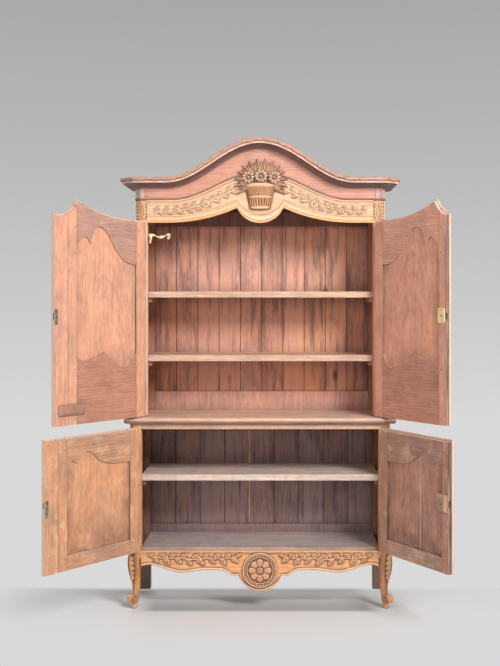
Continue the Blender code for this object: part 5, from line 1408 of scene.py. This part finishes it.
def floor_finish():
    """Pale floor that keeps the shadow under and beside the object and becomes a plain glow further out."""
    made = Finish("studio_floor_grey")
    place = made.object_places()
    x = made.axis(place, "X") - CENTRE_X
    y = made.axis(place, "Y") - CENTRE_Y
    across, deep = x / SHADOW_HALF_WIDTH, y / SHADOW_HALF_DEPTH
    away = (across * across + deep * deep).math("SQRT")
    behind = made.ramp(y, (BACK - 0.11, 0.0), (BACK - 0.02, 1.0))
    aside = made.ramp(x.math("ABSOLUTE"), (0.53, 1.0), (0.62, 0.0))
    # Painted light: a partial glow that lightens the shadow under the rear half of the cabinet
    painted_light_lift = aside * made.ramp(y + 0.5, (0.48, 0.0), (0.56, 0.32))
    share = made.ramp(away / 2.0, (0.28, 0.0), (0.58, 1.0)).math("MAXIMUM", behind.math("MAXIMUM", painted_light_lift))
    # Painted shadow: the floor's colour darkens under the cabinet, most near the front feet
    under = aside * made.ramp(y + 0.5, (0.215, 0.0), (0.255, 1.0), (0.34, 0.85), (0.46, 0.30), (0.58, 0.0))
    made.surface(Base_Color=made.mix(under, (0.74, 0.74, 0.74), (0.40, 0.40, 0.40)), Roughness=0.9)
    return glowing(made, (FLOOR_GLOW, FLOOR_GLOW, FLOOR_GLOW), share)


def wall_finish():
    """Grey wall, palest at its foot and darker upwards."""
    made = Finish("studio_wall_grey")
    level = made.axis(made.object_places(), "Z") / WALL_FADE
    made.surface(Base_Color=(0.72, 0.72, 0.72), Roughness=0.9)
    fade = made.ramp(level, (0.0, FLOOR_GLOW), (0.08, 0.64), (0.39, 0.51), (0.74, 0.402), (1.0, 0.36))
    return glowing(made, fade, 1.0)


def lamp(name, place, aim, size, power):
    """A square soft lamp that looks at a point."""
    light = bpy.data.lights.new(name, "AREA")
    light.size = size
    light.energy = power
    made = placed(name, light)
    made.location = place
    made.rotation_euler = (Vector(aim) - Vector(place)).to_track_quat("-Z", "Y").to_euler()


def studio():
    """Key light from the right front and above, a broad fill from the left, one behind, an even world."""
    for name, values in LAMPS.items():
        lamp(name, *values)
    world = bpy.data.worlds.new("studio_world")
    bpy.context.scene.world = world
    world.use_nodes = True
    sky = world.node_tree.nodes["Background"]
    sky.inputs["Color"].default_value = (1.0, 1.0, 1.0, 1.0)
    sky.inputs["Strength"].default_value = WORLD_STRENGTH


def camera():
    """The photograph's view: level, a little right of the middle, with the lens shifted."""
    lens = bpy.data.cameras.new("photo_camera")
    lens.sensor_fit = "AUTO"
    lens.sensor_width = SENSOR_MM
    lens.lens = LENS_MM
    lens.shift_x = LENS_SHIFT
    lens.shift_y = LENS_SHIFT
    lens.clip_end = 100.0
    made = placed("photo_camera", lens)
    made.location = EYE
    made.rotation_euler = (math.pi / 2, 0.0, 0.0)
    bpy.context.scene.camera = made


def main():
    """Dress the frame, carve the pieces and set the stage."""
    bpy.context.scene.view_settings.view_transform = "Standard"
    for step in (camera, studio, backdrop, dress_frame, rail_carving, crown_roll, crown_mouldings,
                 frieze_bead, flower_basket, apron_carving, medallion, door_hardware, door_pegs, brass_hook,
                 corner_carving, post_blocks, back_slivers, legs):
        step()
    for door in DOORS:
        door_front(door)


main()
